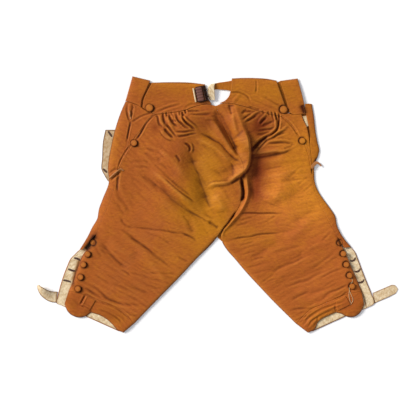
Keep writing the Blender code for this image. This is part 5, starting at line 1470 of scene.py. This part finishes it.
def button_form():
    """A button one millimetre across, as a closed mesh."""
    bm, rings = bmesh.new(), []
    for level, (radius, z) in enumerate(BUTTON_PROFILE):
        tuck = TUCK * max(0, 1 - abs(level - RIM_LEVEL) / 3)
        turns = [WHOLE_TURN * i / BUTTON_SIDES for i in range(BUTTON_SIDES if radius else 1)]
        reach = [radius + tuck * math.cos(TUCKS * a) if radius else 0 for a in turns]
        rings.append([bm.verts.new((r * math.cos(a), r * math.sin(a), z)) for r, a in zip(reach, turns)])
    for first, second in zip(rings[:-1], rings[1:]):
        for i in range(BUTTON_SIDES):
            j = (i + 1) % BUTTON_SIDES
            corners = [ring[k % len(ring)] for ring, k in ((first, i), (first, j), (second, j), (second, i))]
            bm.faces.new(dict.fromkeys(corners))
    mesh = bpy.data.meshes.new("button_form")
    bmesh.ops.recalc_face_normals(bm, faces=bm.faces)
    bm.to_mesh(mesh)
    bm.free()
    mesh.shade_smooth()
    uv = mesh.uv_layers.new(name="cut")
    for loop in mesh.loops:
        uv.data[loop.index].uv = mesh.vertices[loop.vertex_index].co.xy * BUTTON_SILK
    out = np.array([v.co.xy.length for v in mesh.vertices])
    # lighter top: wear and a painted highlight; darker rim: painted shade and soil
    store(mesh, "worn", TOP_WORN_AND_LIT * np.exp(-((out / TOP_REACH) ** 2)))
    store(mesh, "soil", np.clip((out - DARK_RIM_FROM) / DARK_RIM_OVER, 0, 1))
    return mesh


# %% A tree that sets a shape on every point
FLOAT, MATERIAL = "NodeSocketFloat", "NodeSocketMaterial"


def new_tree(name, inputs):
    """A Geometry Nodes tree with a geometry socket each way and the named inputs."""
    tree = bpy.data.node_groups.new(name, "GeometryNodeTree")
    for way in ("INPUT", "OUTPUT"):
        tree.interface.new_socket("Geometry", in_out=way, socket_type="NodeSocketGeometry")
    for label, kind in inputs.items():
        tree.interface.new_socket(label, in_out="INPUT", socket_type=kind)
    return tree, tree.nodes.new("NodeGroupInput").outputs, tree.nodes.new("NodeGroupOutput").inputs


def finish_tree(tree, given, result, points, shape, rotation, size):
    """Sets the shape on each point, makes the copies real and gives them the tree's material."""
    made = add(tree, "GeometryNodeInstanceOnPoints",
               {"Points": points, "Instance": shape, "Rotation": rotation, "Scale": size})
    made = add(tree, "GeometryNodeRealizeInstances", {"Geometry": made})
    made = add(tree, "GeometryNodeSetMaterial", {"Geometry": made, "Material": given["Material"]})
    tree.links.new(made, result["Geometry"])


def run_tree(piece, tree, **values):
    """Runs a tree on an object and keeps the result as its plain mesh."""
    step = piece.modifiers.new("nodes", "NODES")
    step.node_group = tree
    sockets = {s.name: s.identifier for s in tree.interface.items_tree if s.in_out == "INPUT"}
    for label, value in values.items():
        step[sockets[label]] = value
    piece.update_tag()
    return as_mesh(piece, piece.name)


scatter, given, result = new_tree("shape_on_points", {"Shape": "NodeSocketObject", "Material": MATERIAL})
shape = add(scatter, "GeometryNodeObjectInfo", {"Object": given["Shape"]}, "Geometry")
size, turn = [add(scatter, "GeometryNodeInputNamedAttribute", {"Name": name}, "Attribute", data_type="FLOAT")
              for name in ("size", "turn")]
spin = add(scatter, "ShaderNodeCombineXYZ", {"Z": turn})
finish_tree(scatter, given, result, given["Geometry"], shape, spin, size)

# %% All buttons: how deep each lies in the cloth, and how much smaller it is than its solid
SUNK = {"knee_button_left_1": 3.0, "knee_button_right_1": 1.4, "pocket_button_left": 2.2,
        "pocket_button_right": 2.2}
BUTTON_SUNK, BUTTON_SHARE, BUTTON_TURN, BUTTON_GOLD = 0.6, 0.95, 1.7, 0.8
feet = [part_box(n)[0][2] - SUNK.get(n, BUTTON_SUNK) * MM for n in BUTTON_NODES]
button_mesh = bpy.data.meshes.new("covered_buttons")
button_mesh.from_pydata([(x * MM, y * MM, z) for (x, y, _), z in zip(BUTTONS, feet)], [], [])
store(button_mesh, "size", [2 * radius * MM * BUTTON_SHARE for _, _, radius in BUTTONS])
store(button_mesh, "turn", [BUTTON_TURN * i for i in range(len(BUTTONS))])
store(button_mesh, "golden", BUTTON_GOLD * golden(*np.array(BUTTONS).T[:2]))
mould = bpy.data.objects.new("button_mould", button_form())
buttons = run_tree(placed("covered_buttons", button_mesh), scatter, Shape=mould, Material=silk)
bpy.data.objects.remove(mould)
print(len(BUTTONS), "buttons,", len(buttons.data.polygons), "faces")

# %% [markdown]
# ## Hand sewing
# Breeches like these are sewn by hand. A row of small running stitches holds each turned edge, and
# buttonholes are worked: a cut slit, closely overcast with waxed thread. Both are one shape repeated
# along a line, so one tree makes them. It walks along the line at an even pitch and sets a small
# rounded bar at each step, along the line for running stitches and square to it round a buttonhole.
# A fixed seed turns each bar a little, as a hand does.

# %% A tree that sews along lines
HAND_WOBBLE = 0.14     # radians by which a bar may lie askew
sewing, given, result = new_tree("stitches_on_lines", {
    "Pitch": FLOAT, "Long": FLOAT, "Thick": FLOAT, "Turn": FLOAT, "Seed": "NodeSocketInt",
    "Material": MATERIAL})
steps = add(sewing, "GeometryNodeResampleCurve", {"Curve": given["Geometry"], "Length": given["Pitch"]},
            mode="LENGTH")
bead = add(sewing, "GeometryNodeMeshUVSphere", {"Segments": 6, "Rings": 4, "Radius": 0.5})
tangent = add(sewing, "GeometryNodeInputTangent")
along = add(sewing, "FunctionNodeAlignRotationToVector", {"Vector": tangent}, axis="X")
wobble = add(sewing, "FunctionNodeRandomValue", {2: -HAND_WOBBLE, 3: HAND_WOBBLE, 8: given["Seed"]}, 1,
             data_type="FLOAT")
turned = add(sewing, MATH, {0: given["Turn"], 1: wobble}, operation="ADD")
spin = add(sewing, "ShaderNodeCombineXYZ", {"Z": turned})
turned = add(sewing, "FunctionNodeRotateRotation", {"Rotation": along, "Rotate By": spin},
             rotation_space="LOCAL")
size = add(sewing, "ShaderNodeCombineXYZ", {"X": given["Long"], "Y": given["Thick"], "Z": given["Thick"]})
finish_tree(sewing, given, result, steps, bead, turned, size)


def sewn(name, lines, material, pitch=3.6, long=2.2, thick=0.55, turn=0.0, closed=(), seed=1):
    """Stitches along lines of points in mm, as one plain mesh."""
    made = run_tree(line_curve(name, lines, closed), sewing, Pitch=pitch * MM, Long=long * MM,
                    Thick=thick * MM, Turn=turn, Seed=seed, Material=material)
    made.data.shade_smooth()
    print(name, len(made.data.polygons), "faces")
    return made


# %% Rows of running stitches
ACROSS = math.pi / 2   # the turn of a bar that lies square to its line
ENDS, SHORT_ENDS = 0.02, 0.06
STITCH_LIFT, LINE_STEP = 0.05, 4
LINEN_LEVEL, FALL_LEVEL = FACING_LEVEL + 0.15, TRIM_CLOTH + 0.2


def beside(line, inset, lift=0.0, trim=ENDS, level=None):
    """A line on the cloth, moved sideways to its left by inset, and cut a little short at both ends."""
    length = np.linalg.norm(np.diff(np.array(line, float), axis=0), axis=1).sum()
    run = run_along(line, max(6, int(length / LINE_STEP)), trim)
    way = np.gradient(run, axis=0)
    way /= np.linalg.norm(way, axis=1)[:, None]
    run = run + inset * np.stack([-way[:, 1], way[:, 0]], -1)
    z = back_height(*run.T) + lift + STITCH_LIFT if level is None else np.full(len(run), level)
    return np.column_stack([run, z])


rows, linen_rows = [], []
for edges in BANDS.values():
    for edge, inset, trim in zip(edges, (-3.0, 2.6, 2.6, -2.6), (ENDS, ENDS, SHORT_ENDS, SHORT_ENDS)):
        rows.append(beside(edge, inset, BAND_LIFT, trim))
for side, way in ((LEFT, 1), (RIGHT, -1)):
    for edge, first, inset, lift in (
            ("pocket_edge", 0, -2.4, FLAP_LIFT), ("flap_edge", 0, 2.4, FLAP_LIFT), ("side_seam", 0, -2.6, 0),
            ("slit_edge", 2, 2.6, 0), ("tab_hem", 0, 2.6, 0), ("band_hem", 0, 2.8, 0),
            ("knee_seam", 2, -2.4, 0)):
        rows.append(beside(side[edge][first:], inset * way, lift))
    linen_rows += [beside(side["facing_edge"], inset * way, level=LINEN_LEVEL) for inset in (3.6, 32.0)]
linen_rows.append(beside(fall_facing, 3.0, level=FALL_LEVEL))
topstitching = sewn("topstitching", rows, silk_thread)
linen_stitching = sewn("linen_stitching", linen_rows, linen_thread, 4.2, 2.0, 0.5, seed=2)

# %% Bar tacks at both hips, and a loose end of thread at the right knee
HIP_TACK = [(-260.6, 63.2), (-248.6, 73.3), (-239, 81.2), (-231.8, 85.6), (-225.8, 82.4)]
POCKET_TACK = [(-211.4, 225), (-210, 216), (-208, 206)]
STUB = [(226, 89), (231, 96.5), (237, 101), (243, 99), (247, 95)]
LOOSE_END = [(319, -173.2), (322.6, -182.8), (316.6, -192.4), (315.4, -204.4), (320.2, -216.4),
             (323.8, -228.4), (319, -238)]
LOOSE_STRAND = [(315.4, -204.4), (314.4, -218.8), (317.8, -233.2)]
STUB_ACROSS, STUB_DOWN, STUB_LEVEL, STUB_SINKS = 1.2, 1.6, 6.4, 0.1


def on_cloth(line, lift=1.0, steps=24):
    """A line of points on the cloth, raised by lift."""
    run = run_along(line, steps)
    return np.column_stack([run, back_height(*run.T) + lift])


stubs = [[(x + STUB_ACROSS * k, y - STUB_DOWN * k, STUB_LEVEL - STUB_SINKS * i)
          for i, (x, y, _) in enumerate(on_cloth(STUB))] for k in (-1, 0, 1)]
bar_tacks = sewn("bar_tacks", [on_cloth(HIP_TACK), on_cloth(POCKET_TACK, 0.6), *stubs], silk_thread,
                 0.8, 4.4, 1.5, ACROSS, seed=4)
loose_end = sewn("loose_end_of_thread", [on_cloth(LOOSE_END, steps=40), on_cloth(LOOSE_STRAND, steps=30)],
                 linen_thread, 0.8, 2.2, 1.0, seed=5)

# %% Worked buttonholes: middle (x, y), direction in degrees, length, bend and level of each
HOLES = [
    (-337, -130, -20, 15, 1, FACING_LEVEL), (-350, -156, -16, 17, -1, FACING_LEVEL),
    (-361, -183, -14, 19, 1, FACING_LEVEL), (324, -130, 30, 15, -4, FACING_LEVEL),
    (335, -156, 24, 16, -4, FACING_LEVEL), (344, -182, 26, 16, -4, FACING_LEVEL),
    (-258, 170, -54, 16, 0, TRIM_CLOTH), (-270, 82, -42, 12, 0, TRIM_CLOTH),
]
HOLE_HALF, HOLE_LIFT, SLIT_HALF, SLIT_LIFT, SLIT_STEPS = 1.5, 0.3, 0.8, 0.34, 16
BLUNT, SQUARE = 0.8, 0.6   # the lower the power, the squarer the loop


def hole_loop(hole, half_wide, lift, steps=30):
    """A slim loop of points round a buttonhole."""
    x, y, angle, long, bend, level = hole
    c, s = math.cos(math.radians(angle)), math.sin(math.radians(angle))
    points = []
    for turn in (WHOLE_TURN * k / steps for k in range(steps)):
        u = long / 2 * math.copysign(abs(math.cos(turn)) ** SQUARE, math.cos(turn))
        v = half_wide * math.copysign(abs(math.sin(turn)) ** BLUNT, math.sin(turn))
        v += bend * (1 - (2 * u / long) ** 2)
        points.append((x + u * c - v * s, y + u * s + v * c, level + lift))
    return points


loops = [hole_loop(hole, HOLE_HALF, HOLE_LIFT) for hole in HOLES]
buttonholes = sewn("worked_buttonholes", loops, dark_thread, 0.85, 2.4, 0.75, ACROSS, range(len(loops)), 3)
# A dark sheet in each slit is painted shade in the cut opening.
slit_points = np.array([hole_loop(hole, SLIT_HALF, SLIT_LIFT, SLIT_STEPS) for hole in HOLES]).reshape(-1, 3)
slit_faces = np.arange(len(slit_points)).reshape(-1, SLIT_STEPS)
slit_mesh = bpy.data.meshes.new("cut_slits")
slit_mesh.from_pydata((slit_points * MM).tolist(), [], slit_faces.tolist())
slit_mesh.materials.append(dark_thread)
cut_slits = placed("cut_slits", slit_mesh)
print(len(HOLES), "buttonholes")

# %% [markdown]
# ## Handing the pieces over
# Each piece rides on the one rigid body of the plain model and stands for the plain pieces under it.
# The size of each sheet's cut, which was measured along its rows and columns, is printed with its
# area.

# %% What stands for what: the sheet, its plain piece, how it is held and what it rests on
FLOOR = ["paper_floor"]
PLAN = []
for side in SIDES:
    front = [f"front_of_leg_{side}"]
    for sheet, plain, held, rests_on in (
            ("back_of_leg", "leg_back", "gathered", front),
            ("front_of_leg", "leg_front", "laid", FLOOR),
            ("front_waistband", "waistband_front", "laid", FLOOR),
            ("back_waistband", "waistband_back", "laid", [f"front_waistband_{side}"]),
            ("side_waistband", "waistband_side", "folded", [f"front_waistband_{side}"]),
            ("turned_side", "side_turn", "folded", front),
            ("flap_of_pocket", "pocket_flap", "laid", front),
            ("tab_of_knee", "knee_tab", "laid", front),
            ("band_of_knee", "knee_band", "laid", front),
            ("end_of_band", "band_end", "folded", [f"band_of_knee_{side}"]),
            ("facing_of_knee", "knee_facing", "laid", front),
            ("lining_of_hem", "hem_lining", "laid", front),
            ("strap_of_knee", "knee_strap", "laid", FLOOR)):
        PLAN.append((f"{sheet}_{side}", f"{plain}_{side}", held, rests_on))
PLAN += [
    ("fall_flap", "fall", "laid", FLOOR),
    ("strap_of_waist", "back_strap", "folded", ["back_waistband_left", "back_waistband_right"]),
    ("tape_of_buckle", "buckle_ribbon", "folded", ["back_waistband_left"]),
    ("facing_of_fall", "fall_facing_left", "laid", FLOOR),
    ("lining_of_pocket", "pocket_lining_right", "laid", ["front_of_leg_right"]),
]
SLOTS = {silk: "ribbed_silk", linen: "linen_lining", ribbon_tape: "ribbed_ribbon"}


def handed_over(piece, nodes, slot):
    """A piece on the rigid body, in place of plain pieces. The material slot is not used."""
    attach(piece, BODY)
    if nodes:
        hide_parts(*nodes)


for name, node, held, rests_on in PLAN:
    piece, (width, length), area = sheets[name].values()
    handed_over(piece, [node], SLOTS[piece.data.materials[0]])
    area = min(area, width * length)
    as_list(rests_on)
    print(f"{name}: cut {1000 * width:.0f} x {1000 * length:.0f} mm, {10000 * area:.0f} cm2")
for row in (
        (keeper, ["buckle_keeper"], "linen_lining"), (buckle, ["buckle_frame"], "blackened_iron"),
        (buttons, BUTTON_NODES, "ribbed_silk"), (topstitching, [], "ribbed_silk"),
        (linen_stitching, [], "linen_lining"), (buttonholes, [], "ribbed_silk"),
        (cut_slits, [], "ribbed_silk"), (bar_tacks, [], "ribbed_silk"), (loose_end, [], "linen_lining")):
    handed_over(*row)
